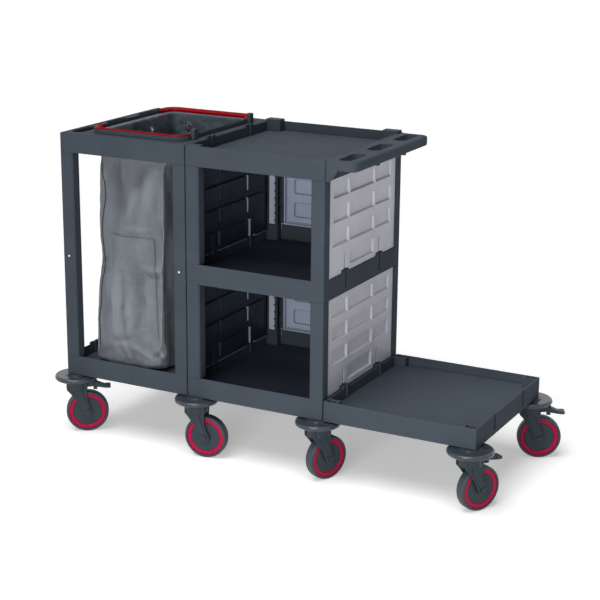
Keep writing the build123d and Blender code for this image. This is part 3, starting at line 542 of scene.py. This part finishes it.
def bag_sides(height):
    """Left, right, front and rear of the bag at a height."""
    t = max(0.0, (NARROW_FROM - height) / (NARROW_FROM - FOOT_HEIGHT))
    sides = [a + (b - a) * t for a, b in zip(BAG_NECK, BAG_FOOT)]
    narrow = smooth_step((NARROW_FROM - height) / (NARROW_FROM - NARROW_TO))
    for side in (0, 1):
        below = BELOW_NECK[side] + (BAG_FOOT[side] - BELOW_NECK[side]) * t
        sides[side] = BAG_NECK[side] + (below - BAG_NECK[side]) * narrow
    sides[0] += DENT * math.exp(-((height - DENT_HEIGHT) / DENT_REACH) ** 2)
    return sides


def bag_ring(height, grow, radius):
    """Points round the bag at a height, with its sides moved out by grow."""
    left, right, front, rear = bag_sides(height)
    return ring_points((left + right) / 2, (front + rear) / 2, right - left + 2 * grow,
                       rear - front + 2 * grow, radius, SIDE_COUNT, CORNER_COUNT)


def corner_share(x, y, height):
    """1 at the bag's upright edges, falling to 0 along its sides."""
    left, right, front, rear = bag_sides(height)
    side_x = (2 * x - left - right) / (right - left)
    side_y = (2 * y - front - rear) / (rear - front)
    return min(1.0, abs(side_x)) ** CORNER_POWER * min(1.0, abs(side_y)) ** CORNER_POWER


def bag_rows():
    """Rows of points from the hem's outer edge down to the middle of the bag's foot."""
    rows = []
    for grow in HEM_STEPS:
        ring = bag_ring(HEM_HEIGHT, grow, NECK_CORNER + grow)
        rows.append([(x, y, HEM_HEIGHT) for x, y in ring])
    top = HEM_HEIGHT - HEM_TURN
    for i in range(ROW_COUNT + 1):
        height = top + (FOOT_HEIGHT - top) * i / ROW_COUNT
        below = smooth_step((HELD_HEIGHT - height) / NECK_CORNER_RUN)
        near_foot = smooth_step((FOOT_HEIGHT + FOOT_CORNER_RUN - height) / FOOT_CORNER_RUN)
        radius = NECK_CORNER + (SIDE_CORNER - NECK_CORNER) * below
        radius += (FOOT_CORNER - SIDE_CORNER) * near_foot
        rise = min(1.0, (height - FOOT_HEIGHT) / FOOT_ROUND)
        tuck = FOOT_ROUND * (1 - math.sqrt(1 - (1 - rise) ** 2))
        ring = []
        for x, y in bag_ring(height, -tuck, radius):
            lift = FOOT_CORNER_LIFT * near_foot * corner_share(x, y, height)
            ring.append((x, y, height + lift))
        rows.append(ring)
    left, right, front, rear = bag_sides(FOOT_HEIGHT)
    cx, cy = (left + right) / 2, (front + rear) / 2
    rim = rows[-1]
    for share in FOOT_STEPS:
        lift_share = share ** FOOT_LIFT_POWER
        rows.append([(cx + (x - cx) * share, cy + (y - cy) * share,
                      FOOT_HEIGHT + (z - FOOT_HEIGHT) * lift_share) for x, y, z in rim])
    return rows


def bag_mesh():
    """The bag's start shape as points and faces."""
    rows = bag_rows()
    across = len(rows[0])
    verts = [rail_at(*p) for row in rows for p in row]
    faces = []
    for r in range(len(rows) - 1):
        this, below = r * across, (r + 1) * across
        for c in range(across):
            d = (c + 1) % across
            faces.append((this + c, below + c, below + d, this + d))
    centre = sum((Vector(p) for p in rows[-1]), Vector()) / across
    verts.append(rail_at(*centre))
    base = (len(rows) - 1) * across
    for c in range(across):
        faces.append((base + c, len(verts) - 1, base + (c + 1) % across))
    return verts, faces


# How the cloth hangs. The limit of a point's move is in metres, and sewn edges move less.
SETTLE_FRAMES = 26
CLOTH_SETTINGS = {
    "quality": 6, "mass": 0.22, "tension_stiffness": 24, "compression_stiffness": 24,
    "shear_stiffness": 10, "bending_stiffness": 1.6, "air_damping": 3, "shrink_min": -0.012,
}
MOVE_LIMIT = 0.014
EDGE_HELD = 0.9
FOOT_HELD = 3.0
LEAST_MOVE = 1e-9


def hang(obj, weights):
    """Let the cloth settle under its own weight where it isn't held, and return its points."""
    group = obj.vertex_groups.new(name="held")
    for index, weight in enumerate(weights):
        group.add([index], weight, "REPLACE")
    cloth_mod = obj.modifiers.new("hang", "CLOTH")
    for key, value in CLOTH_SETTINGS.items():
        setattr(cloth_mod.settings, key, value)
    cloth_mod.settings.vertex_group_mass = "held"
    cloth_mod.point_cache.frame_start = 1
    cloth_mod.point_cache.frame_end = SETTLE_FRAMES
    for f in range(1, SETTLE_FRAMES + 1):
        scene.frame_set(f)
    posed = evaluated(obj)
    settled = posed.to_mesh()
    co = np.zeros(len(settled.vertices) * 3)
    settled.vertices.foreach_get("co", co)
    posed.to_mesh_clear()
    obj.modifiers.remove(cloth_mod)
    obj.vertex_groups.remove(group)
    scene.frame_set(1)
    return co.reshape(-1, 3)


def settle(bag, verts):
    """Hang the cloth by its neck with its foot held, and keep its sewn edges straighter."""
    held_above = (RAIL_BOTTOM + HELD_HEIGHT) / MM_PER_M
    held_below = (RAIL_BOTTOM + FOOT_HEIGHT + FOOT_HELD) / MM_PER_M
    start = np.array([tuple(v) for v in verts])
    weights = [1.0 if v.z >= held_above or v.z <= held_below else 0.0 for v in verts]
    step = hang(bag, weights) - start
    edges = [corner_share(*rail_place(v)) for v in verts]
    step *= 1 - EDGE_HELD * np.array(edges)[:, None]
    size = np.linalg.norm(step, axis=1, keepdims=True)
    final = start + step * np.minimum(1.0, MOVE_LIMIT / np.maximum(size, LEAST_MOVE))
    final[:, 2] = np.maximum(final[:, 2], (RAIL_BOTTOM + FOOT_HEIGHT) / MM_PER_M)
    bag.data.vertices.foreach_set("co", final.ravel())
    bag.data.update()


# Folds of the front: from x, height to x, height, then half width and how far they stand out
FRONT_FOLDS = (
    (150, 335, 151, 125, 19, 5.5), (200, 255, 201, 128, 15, 4.0), (176, 320, 177, 125, 8, -3.5),
    (181, 660, 181, 595, 6, 2.6), (294, 655, 250, 505, 28, 6.5), (222, 575, 194, 490, 14, 4.5),
    (165, 650, 158, 500, 27, -4.5), (250, 640, 222, 590, 14, -3.0), (190, 456, 272, 458, 11, 3.2),
    (240, 349, 316, 349, 8, 3.6), (248, 333, 298, 322, 7, -3.2), (304, 336, 313, 292, 8, 3.4),
    (128, 117, 206, 121, 8, -3.2), (168, 118, 192, 62, 7, 3.4), (286, 96, 314, 62, 9, 4.5),
    (268, 70, 304, 104, 6, -4.0), (86, 352, 92, 338, 34, -7.0), (232, 320, 236, 190, 12, -2.6),
    (262, 300, 268, 160, 16, 2.8), (120, 640, 112, 560, 10, 3.0), (300, 470, 318, 430, 10, -2.6),
    (112, 240, 100, 120, 12, -2.8), (210, 96, 262, 66, 9, 2.6),
)
FOLD_SCALE = 1.9
FOLD_END = 0.45
# How far a fold wanders off its line and over what length, across and up the bag
WANDER_X, WANDER_X_LENGTH = 8.0, 45.0
WANDER_UP, WANDER_UP_LENGTH = 10.0, 60.0
WANDER_UP_SEED = Vector((0.0, 0.0, 5.0))

# Ripples over the whole bag: how far they stand out and over what length
RIPPLES = ((1.1, 46.0), (0.6, 17.0))
RIDGE, RIDGE_LENGTH, RIDGE_MEAN = 2.6, 52.0, 0.3
RIDGE_SEED = Vector((9.0, 0.0, 0.0))
# Long waves of the other sides: how far they stand out, and radians per millimetre along x, y, z
WAVES = ((3.2, 0.055, 0.047, 0.006), (1.6, 0.0, 0.11, -0.011))

# Where the folds start: below the neck, above the foot, and on cloth that looks to the front
LOOSE_BELOW_NECK, LOOSE_NECK_RUN, LOOSE_FOOT_RUN = 12.0, 40.0, 20.0
FRONT_LOOK, FRONT_LOOK_RUN = 0.2, 0.5
# Cloth that looks to the sides gets painted shade
SIDE_LOOK, SIDE_LOOK_RUN = 0.3, 0.4

# Painted light and shade on the cloth: 1 for a fold so many millimetres high, how far the bag is
# paler towards the foot, and how much painted shade the sides get
FOLD_FULL_SHADING = 8.0
FOOT_PALING = 0.35
SIDE_PAINTED_SHADE = 0.6


def fold_height(x, height):
    """How far the front's folds stand out at a place. They wander, and fade to their ends."""
    place = Vector((x, height, 0.0))
    x += WANDER_X * noise.noise(place / WANDER_X_LENGTH)
    height += WANDER_UP * noise.noise(place / WANDER_UP_LENGTH + WANDER_UP_SEED)
    total = 0.0
    for x0, h0, x1, h1, width, out in FRONT_FOLDS:
        run_x, run_h = x1 - x0, h1 - h0
        t = ((x - x0) * run_x + (height - h0) * run_h) / (run_x * run_x + run_h * run_h)
        t = min(1.0, max(0.0, t))
        gap = math.hypot(x - x0 - t * run_x, height - h0 - t * run_h)
        along = FOLD_END + (1 - FOLD_END) * math.sin(math.pi * t)
        total += FOLD_SCALE * out * along * math.exp(-(gap / width) ** 2)
    return total


def painted_fold_shading(fold, height):
    """Painted light and shade from a fold: paler on folds that stand out, darker in folds that sink
    in, and paler towards the foot and darker towards the neck.
    """
    return fold / FOLD_FULL_SHADING + FOOT_PALING * (1 - 2 * height / HELD_HEIGHT)


def store_painted_shading(piece, shares):
    """Store on each point the painted light and shade: above 0 painted paler, below 0 painted
    darker.
    """
    piece.data.attributes.new("painted_shading", "FLOAT", "POINT").data.foreach_set("value", shares)


def crease(bag):
    """Round the cloth with one subdivision, then work in the folds, the front's as listed."""
    rounding = bag.modifiers.new("round", "SUBSURF")
    rounding.levels = 1
    fine = bpy.data.meshes.new_from_object(evaluated(bag))
    bag.modifiers.remove(rounding)
    bag.data = fine
    normals = [v.normal.copy() for v in fine.vertices]
    shares = []
    for v, normal in zip(fine.vertices, normals):
        x, y, height = rail_place(v.co)
        place = Vector((x, y, height))
        loose = smooth_step((HELD_HEIGHT - LOOSE_BELOW_NECK - height) / LOOSE_NECK_RUN)
        loose *= smooth_step((height - FOOT_HEIGHT) / LOOSE_FOOT_RUN)
        front = smooth_step((-normal.y - FRONT_LOOK) / FRONT_LOOK_RUN)
        side = smooth_step((abs(normal.x) - SIDE_LOOK) / SIDE_LOOK_RUN)
        ripple = sum(out * noise.noise(place / length) for out, length in RIPPLES)
        ripple += RIDGE * (RIDGE_MEAN - abs(noise.noise(place / RIDGE_LENGTH + RIDGE_SEED)))
        wave = sum(out * math.sin(x * along_x + y * along_y + height * along_z)
                   for out, along_x, along_y, along_z in WAVES)
        fold = front * fold_height(x, height)
        push = loose * (ripple + fold + (1 - front) * wave)
        v.co += normal * (push / MM_PER_M)
        # Painted highlights on folds that stand out, painted shade in folds that sink in, paler
        # towards the foot, and painted shade on cloth that looks to the sides
        shares.append(front * loose * painted_fold_shading(fold, height) - SIDE_PAINTED_SHADE * side)
    fine.update()
    store_painted_shading(bag, shares)


def make_bag():
    """The bag's cloth, hung and creased, with a darker copy of its cloth as a second material,
    which paints shade on its inside.
    """
    verts, faces = bag_mesh()
    piece = new_object("bag_cloth", verts, faces, bag_cloth)
    settle(piece, verts)
    crease(piece)
    piece.data.materials.append(bag_inside_shaded)
    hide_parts("laundry_bag")
    return piece


# Eyelets, in metres from the middle of each
EYELET_NEAR = 0.022
EYELET_HOLE = 0.0066
SAME_POINT = 1e-6


def node_islands(name):
    """Centres of the separate pieces in a CAD node."""
    mesh = bmesh.new()
    mesh.from_mesh(nodes[name].data)
    bmesh.ops.remove_doubles(mesh, verts=mesh.verts, dist=SAME_POINT)
    seen = set()
    centres = []
    for first in mesh.verts:
        if first in seen:
            continue
        seen.add(first)
        stack = [first]
        island = []
        while stack:
            v = stack.pop()
            island.append(v.co.copy())
            for e in v.link_edges:
                other = e.other_vert(v)
                if other not in seen:
                    seen.add(other)
                    stack.append(other)
        centres.append(sum(island, Vector()) / len(island))
    mesh.free()
    return centres


def cut_eyelet_holes(bag):
    """Open the cloth inside each eyelet, under its flanges."""
    centres = node_islands("bag_eyelets")
    body = bmesh.new()
    body.from_mesh(bag.data)

    def within(face, reach):
        return any((face.calc_center_median() - c).length < reach for c in centres)

    near = [f for f in body.faces if within(f, EYELET_NEAR)]
    edges = list({e for f in near for e in f.edges})
    bmesh.ops.subdivide_edges(body, edges=edges, cuts=2, use_grid_fill=True)
    gone = [f for f in body.faces if within(f, EYELET_HOLE)]
    bmesh.ops.delete(body, geom=gone, context="FACES")
    body.to_mesh(bag.data)
    body.free()
    bag.data.shade_smooth()


bag = make_bag()
cut_eyelet_holes(bag)
sheet_mod = thicken(bag, BAG_SHEET / MM_PER_M)
# The inside and rims of the cloth get the darker copy: painted shade
sheet_mod.material_offset = 1
sheet_mod.material_offset_rim = 1
bpy.context.view_layer.update()
bag_surface = BVHTree.FromObject(bag, bpy.context.evaluated_depsgraph_get())

# What is sewn on the bag, in millimetres

AHEAD_OF_CART = -200.0


def on_bag_front(x, height, lift):
    """The point of the bag's front at that place, lifted off the cloth, in the row frame."""
    start = rail_at(x, AHEAD_OF_CART, height)
    hit, normal, _, _ = bag_surface.ray_cast(start, Vector((0, 1, 0)))
    normal = normal if normal.y < 0 else -normal
    return hit + normal * (lift / MM_PER_M)


# The pocket's left and right edges are given at its top and at its foot.
POCKET_TOP, POCKET_FOOT = 437.0, 116.0
POCKET_LEFT = (131.5, 128.0)
POCKET_RIGHT = (284.5, 291.0)
POCKET_COLUMNS, POCKET_ROWS = 44, 84
POCKET_LIFT = 1.5
POCKET_BULGE, POCKET_BULGE_RUN, POCKET_BULGE_FALL = 1.2, 24.0, 1.6
POCKET_HEM, POCKET_HEM_RUN = 1.2, 12.0
POCKET_TUCK, POCKET_TUCK_FROM = 2.4, 0.86
POCKET_SAG, POCKET_SAG_POWER = 3.5, 6


def pocket_edge(side, height):
    """X of the pocket's left or right edge at a height."""
    t = (POCKET_TOP - height) / (POCKET_TOP - POCKET_FOOT)
    return side[0] + (side[1] - side[0]) * t


def make_pocket():
    """Patch pocket on the bag's front, following the cloth under it, with a hemmed top edge."""
    verts, faces, shares = [], [], []
    for r in range(POCKET_ROWS + 1):
        t = r / POCKET_ROWS
        height = POCKET_TOP + (POCKET_FOOT - POCKET_TOP) * t
        left = pocket_edge(POCKET_LEFT, height)
        right = pocket_edge(POCKET_RIGHT, height)
        hem = smooth_step((POCKET_HEM_RUN - (POCKET_TOP - height)) / POCKET_HEM_RUN)
        tuck = smooth_step((t - POCKET_TUCK_FROM) / (1 - POCKET_TUCK_FROM))
        for c in range(POCKET_COLUMNS + 1):
            s = c / POCKET_COLUMNS
            edge = min(s, 1 - s) * (right - left)
            bulge = smooth_step(edge / POCKET_BULGE_RUN) * smooth_step((1 - t) * POCKET_BULGE_FALL)
            lift = POCKET_LIFT + POCKET_BULGE * bulge + POCKET_HEM * hem - POCKET_TUCK * tuck
            sag = POCKET_SAG * math.sin(s * math.pi) * (1 - t) ** POCKET_SAG_POWER
            x = left + (right - left) * s
            verts.append(on_bag_front(x, height - sag, lift))
            # Painted light and shade of the fold under the pocket
            shares.append(painted_fold_shading(fold_height(x, height - sag), height))
    across = POCKET_COLUMNS + 1
    for r in range(POCKET_ROWS):
        for c in range(POCKET_COLUMNS):
            i = r * across + c
            faces.append((i, i + across, i + across + 1, i + 1))
    pocket = new_object("bag_pocket", verts, faces, bag_cloth)
    store_painted_shading(pocket, shares)
    thicken(pocket, BAG_SHEET / MM_PER_M)
    return pocket


TUBE_SIDES = 8
TUBE_END = 0.55


def tube(name, points, radius, material):
    """A round cord along points in the row frame, with rounded-off ends."""
    verts = []
    last = len(points) - 1
    for i, p in enumerate(points):
        ahead = points[min(i + 1, last)] - points[max(i - 1, 0)]
        ahead.normalize()
        side = ahead.cross(Vector((0, 1, 0)))
        side.normalize()
        up = side.cross(ahead)
        scale = radius * (TUBE_END if i in (0, last) else 1.0)
        for k in range(TUBE_SIDES):
            a = 2 * math.pi * k / TUBE_SIDES
            verts.append(p + side * (math.cos(a) * scale) + up * (math.sin(a) * scale))
    return new_object(name, verts, ring_faces(len(points), TUBE_SIDES), material)


# Places that the left seam passes, as height and x
LEFT_SEAM = ((676, 108), (657, 106), (570, 120), (443, 104), (346, 107), (258, 94), (163, 83),
             (75, 84))
SEAM_STEP = 9.0
LEFT_SEAM_LIFT, RIGHT_SEAM_LIFT = 0.6, 0.8
RIGHT_SEAM_INSET = SIDE_CORNER * 0.6
# Radius of the piping, in metres
LEFT_SEAM_RADIUS, RIGHT_SEAM_RADIUS = 0.0017, 0.0016


def seam_x(height):
    """X of the wavy left seam, smoothly between its places."""
    for (h0, x0), (h1, x1) in zip(LEFT_SEAM, LEFT_SEAM[1:]):
        if height >= h1:
            return x0 + (x1 - x0) * smooth_step((h0 - height) / (h0 - h1))
    return LEFT_SEAM[-1][1]


def make_seams():
    """Piping down the front: a dark wavy seam on the left and a pale corded edge on the right."""
    top, low = LEFT_SEAM[0][0], LEFT_SEAM[-1][0]
    left, right = [], []
    for i in range(int((top - low) / SEAM_STEP) + 1):
        height = top - i * SEAM_STEP
        left.append(on_bag_front(seam_x(height), height, LEFT_SEAM_LIFT))
        edge = bag_sides(height)[1] - RIGHT_SEAM_INSET
        right.append(on_bag_front(edge, height, RIGHT_SEAM_LIFT))
    return (tube("bag_piping_left", left, LEFT_SEAM_RADIUS, piping_cloth),
            tube("bag_piping_right", right, RIGHT_SEAM_RADIUS, edge_cloth))


STITCH_INSET, STITCH_PITCH, STITCH_LENGTH = 4.0, 5.6, 3.5
STITCH_HEM = 14.0
STITCH_LIFT = 3.0
STITCH_SIDES = 6
# Rings of one stitch: share of its length and of its radius, which is in metres
STITCH_RINGS = ((0.0, 0.3), (0.25, 1.0), (0.75, 1.0), (1.0, 0.3))
STITCH_RADIUS = 0.00045


def stitch_runs():
    """Start and end of every stitch: down both sides of the pocket, and along its hem."""
    runs = []
    tall = POCKET_TOP - POCKET_FOOT - 2 * STITCH_INSET
    wide = POCKET_RIGHT[0] - POCKET_LEFT[0] - 2 * STITCH_INSET
    for i in range(int(tall / STITCH_PITCH)):
        height = POCKET_TOP - STITCH_INSET - i * STITCH_PITCH
        for side, step in ((POCKET_LEFT, STITCH_INSET), (POCKET_RIGHT, -STITCH_INSET)):
            x = pocket_edge(side, height) + step
            runs.append(((x, height), (x, height - STITCH_LENGTH)))
    hem = POCKET_TOP - STITCH_HEM
    for i in range(int(wide / STITCH_PITCH)):
        x = POCKET_LEFT[0] + STITCH_INSET + i * STITCH_PITCH
        runs.append(((x, hem), (x + STITCH_LENGTH, hem)))
    return runs


def make_stitches():
    """Running stitches just inside the pocket's edges, each a small raised bead of thread."""
    verts, faces = [], []
    out = Vector((0, -1, 0))
    for start, end in stitch_runs():
        a = on_bag_front(*start, STITCH_LIFT)
        b = on_bag_front(*end, STITCH_LIFT)
        side = (b - a).normalized().cross(out).normalized()
        faces += ring_faces(len(STITCH_RINGS), STITCH_SIDES, len(verts))
        for along, scale in STITCH_RINGS:
            p = a + (b - a) * along
            for k in range(STITCH_SIDES):
                turn = 2 * math.pi * k / STITCH_SIDES
                spoke = side * math.cos(turn) + out * math.sin(turn)
                verts.append(p + spoke * STITCH_RADIUS * scale)
    return new_object("bag_stitches", verts, faces, thread_grey)


pocket = make_pocket()
seams = make_seams()
stitches = make_stitches()


# Small parts that the photograph shows and the solids leave out, in millimetres

# Trim strip: from the shelf module's left side, the post behind it, and the trays
STRIP_X = (15.5, 35.0)
STRIP_GAP, STRIP_THICKNESS = 0.3, 3.2
STRIP_FOOT, STRIP_HEAD = 24.0, 3.0
NOTCH_PITCH, NOTCH_DEPTH = 22.0, 4.0
NOTCH_MOUTH, NOTCH_FLOOR = 3.0, 1.5
STRIP_BEVEL = 0.6

# Foot lip, pale to paint the highlight along the panel's foot: from the shelf module's left side
# and the tray under it, in runs along the depth
LIP_X, LIP_LEAN = (7.4, 10.0), 0.6
LIP_Z = (1.2, 3.6)
LIP_RUNS = ((36.0, 110.0), (163.0, 330.0), (383.0, 457.0))
BAR_FACES = ((0, 1, 2, 3), (7, 6, 5, 4), (0, 4, 5, 1), (1, 5, 6, 2), (3, 2, 6, 7), (0, 3, 7, 4))

# Bumper screw: radius and height up its side
SCREW_PROFILE = ((2.5, 0.0), (2.5, 0.8), (1.9, 1.4), (0.7, 1.6))
SCREW_STEPS = 24
SCREW_OUTSIDE = 8.5
SCREW_ASIDE = 7.5

# Top of the tray under each compartment
LEVELS = {"lower": RAIL_BOTTOM + TRAY_HEIGHT, "upper": RAIL_BOTTOM + 2 * TRAY_HEIGHT + POST_LENGTH}


def make_trim_strip(name, base_z):
    """Notched light strip that stands in front of the rear left post, in one compartment."""
    x0, x1 = (SHELF_X + x for x in STRIP_X)
    y1 = DEPTH - POST_DEPTH - STRIP_GAP
    y0 = y1 - STRIP_THICKNESS
    low = base_z + STRIP_FOOT
    high = base_z + POST_LENGTH - STRIP_HEAD
    count = int((high - low) / NOTCH_PITCH)
    outline = [(x0, low), (x1, low)]
    for i in range(count):
        z = low + (i + 0.5) * (high - low) / count
        outline += [(x1, z - NOTCH_MOUTH), (x1 - NOTCH_DEPTH, z - NOTCH_FLOOR),
                    (x1 - NOTCH_DEPTH, z + NOTCH_FLOOR), (x1, z + NOTCH_MOUTH)]
    outline += [(x1, high), (x0, high)]
    mesh = bmesh.new()
    front = [mesh.verts.new(at(x, y0, z)) for x, z in outline]
    back = [mesh.verts.new(at(x, y1, z)) for x, z in outline]
    mesh.faces.new(front)
    mesh.faces.new(back[::-1])
    for i in range(len(outline)):
        j = (i + 1) % len(outline)
        mesh.faces.new((front[i], back[i], back[j], front[j]))
    bmesh.ops.recalc_face_normals(mesh, faces=mesh.faces)
    data = bpy.data.meshes.new(name)
    mesh.to_mesh(data)
    mesh.free()
    strip = add_object(name, data)
    data.materials.append(trim_grey)
    edge = strip.modifiers.new("edge", "BEVEL")
    edge.width = STRIP_BEVEL / MM_PER_M
    edge.segments = 2
    edge.limit_method = "ANGLE"
    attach(strip, "frame")


def make_foot_highlight_lip(name, base_z):
    """Pale lip along the foot of a left end panel, broken where the tray's tabs stand; its pale
    colour paints the highlight along the panel's foot.
    """
    x0, x1 = (SHELF_X + x for x in LIP_X)
    z0, z1 = (base_z + z for z in LIP_Z)
    section = ((x0, z0), (x1, z0), (x1 - LIP_LEAN, z1), (x0, z1))
    verts, faces = [], []
    for run in LIP_RUNS:
        base = len(verts)
        verts += [at(x, y, z) for y in run for x, z in section]
        faces += [tuple(base + i for i in face) for face in BAR_FACES]
    new_object(name, verts, faces, lip_highlight_grey, smooth=False)


def make_bumper_screws():
    """Small bright screw in the top of each bumper disc, just outside the tray above it."""
    verts, faces = [], []
    z = RAIL_BOTTOM - BUMPER_HUB_HEIGHT
    for x in CASTER_XS:
        for y in (-SCREW_OUTSIDE, DEPTH + SCREW_OUTSIDE):
            faces += ring_faces(len(SCREW_PROFILE), SCREW_STEPS, len(verts))
            for radius, height in SCREW_PROFILE:
                for k in range(SCREW_STEPS):
                    a = 2 * math.pi * k / SCREW_STEPS
                    verts.append(at(x + SCREW_ASIDE + radius * math.cos(a),
                                    y + radius * math.sin(a), z + height))
    new_object("bumper_screws", verts, faces, steel, smooth=False)


make_bumper_screws()
for level, base_z in LEVELS.items():
    make_trim_strip("trim_strip_" + level, base_z)
for level, base_z in LEVELS.items():
    make_foot_highlight_lip("panel_foot_highlight_lip_" + level, base_z)


# Floor, light and camera

FLOOR_SIZE = 30.0
FLOOR_SHADES = (0.88, 0.90)
FLOOR_GLOW = 0.38
ROOM_LIGHT = 0.12
ROOM_COLOUR = (0.97, 0.985, 1.0, 1.0)
WHITE = (1.0, 1.0, 1.0, 1.0)

# The camera, from a fit to the tray corners: degrees, millimetres, and pixels of the photograph
CAMERA_YAW, CAMERA_PITCH, CAMERA_ROLL = 27.74, 16.02, 0.46
CAMERA_PLACE = (2728.4, -3688.0, 1536.0)
FOCAL_PIXELS, PHOTO_PIXELS = 1586.6, 600.0
SENSOR_WIDTH = 36.0
VIEW_REACH = 100.0


def seen_directly(tree):
    """1 for rays from the camera and for those that metal or glass sends on, and 0 for light."""
    path = tree.nodes.new("ShaderNodeLightPath")
    total = path.outputs["Is Camera Ray"]
    for kind in ("Is Glossy Ray", "Is Transmission Ray"):
        most = tree.nodes.new("ShaderNodeMath")
        most.operation = "MAXIMUM"
        tree.links.new(total, most.inputs[0])
        tree.links.new(path.outputs[kind], most.inputs[1])
        total = most.outputs[0]
    return total


def make_floor():
    """Plain pale floor that looks white and keeps a soft shadow."""
    n = Nodes("studio_floor")
    dark, light = (shade(WHITE, factor) for factor in FLOOR_SHADES)
    n.put("Base Color", n.mix(n.layer(*FLOOR_CLOUD), dark, light))
    n.put("Roughness", 0.9)
    n.put("Specular IOR Level", 0.0)
    n.put("Emission Color", WHITE)
    n.put("Emission Strength", n.times(seen_directly(n.tree), FLOOR_GLOW))
    mesh = bpy.data.meshes.new("studio_floor")
    corners = [(-FLOOR_SIZE, -FLOOR_SIZE, 0.0), (FLOOR_SIZE, -FLOOR_SIZE, 0.0),
               (FLOOR_SIZE, FLOOR_SIZE, 0.0), (-FLOOR_SIZE, FLOOR_SIZE, 0.0)]
    mesh.from_pydata(corners, [], [(0, 1, 2, 3)])
    floor = add_object("studio_floor", mesh)
    mesh.materials.append(n.mat)


def make_world():
    """Even room light, seen as plain white."""
    world = bpy.data.worlds.new("studio")
    scene.world = world
    world.use_nodes = True
    tree = world.node_tree
    room = tree.nodes["Background"]
    room.inputs["Color"].default_value = ROOM_COLOUR
    room.inputs["Strength"].default_value = ROOM_LIGHT
    white = tree.nodes.new("ShaderNodeBackground")
    white.inputs["Color"].default_value = WHITE
    white.inputs["Strength"].default_value = 1.0
    join = tree.nodes.new("ShaderNodeMixShader")
    tree.links.new(seen_directly(tree), join.inputs[0])
    tree.links.new(room.outputs[0], join.inputs[1])
    tree.links.new(white.outputs[0], join.inputs[2])
    tree.links.new(join.outputs[0], tree.nodes["World Output"].inputs["Surface"])


def aim(obj, place, target):
    """Put a lamp somewhere, turned towards a target."""
    obj.location = place
    obj.rotation_euler = (Vector(target) - Vector(place)).to_track_quat("-Z", "Y").to_euler()


def make_sun(name, towards, strength, softness):
    """Even light from one direction, which reaches the whole floor alike."""
    lamp = bpy.data.lights.new(name, "SUN")
    lamp.energy = strength
    lamp.angle = math.radians(softness)
    aim(add_object(name, lamp), towards, (0.0, 0.0, 0.0))


def make_lamp(name, place, target, size, energy):
    """Soft box."""
    lamp = bpy.data.lights.new(name, "AREA")
    lamp.shape = "RECTANGLE"
    lamp.size, lamp.size_y = size
    lamp.energy = energy
    aim(add_object(name, lamp), place, target)


def make_camera():
    """The photograph's own view."""
    yaw, pitch, roll = (math.radians(a) for a in (CAMERA_YAW, CAMERA_PITCH, CAMERA_ROLL))
    ahead = Vector((-math.sin(yaw) * math.cos(pitch), math.cos(yaw) * math.cos(pitch),
                    -math.sin(pitch)))
    right = Vector((math.cos(yaw), math.sin(yaw), 0.0))
    up = right.cross(ahead)
    r = right * math.cos(roll) + up * math.sin(roll)
    u = -right * math.sin(roll) + up * math.cos(roll)
    camera = bpy.data.cameras.new("photo_view")
    camera.sensor_width = SENSOR_WIDTH
    camera.lens = SENSOR_WIDTH * FOCAL_PIXELS / PHOTO_PIXELS
    camera.clip_end = VIEW_REACH
    obj = add_object("photo_view", camera)
    turn = Matrix((r, u, -ahead)).transposed().to_4x4()
    obj.matrix_world = Matrix.Translation(rail_at(*CAMERA_PLACE)) @ turn
    bpy.context.scene.camera = obj


make_floor()
make_world()
make_sun("overhead", towards=(-0.2, -1.2, 3.0), strength=2.0, softness=40.0)
make_lamp("front_box", place=(0.6, -3.0, 1.0), target=(0.0, 0.0, 0.5), size=(1.3, 0.8), energy=34.0)
make_camera()
bpy.context.scene.view_settings.view_transform = "Standard"
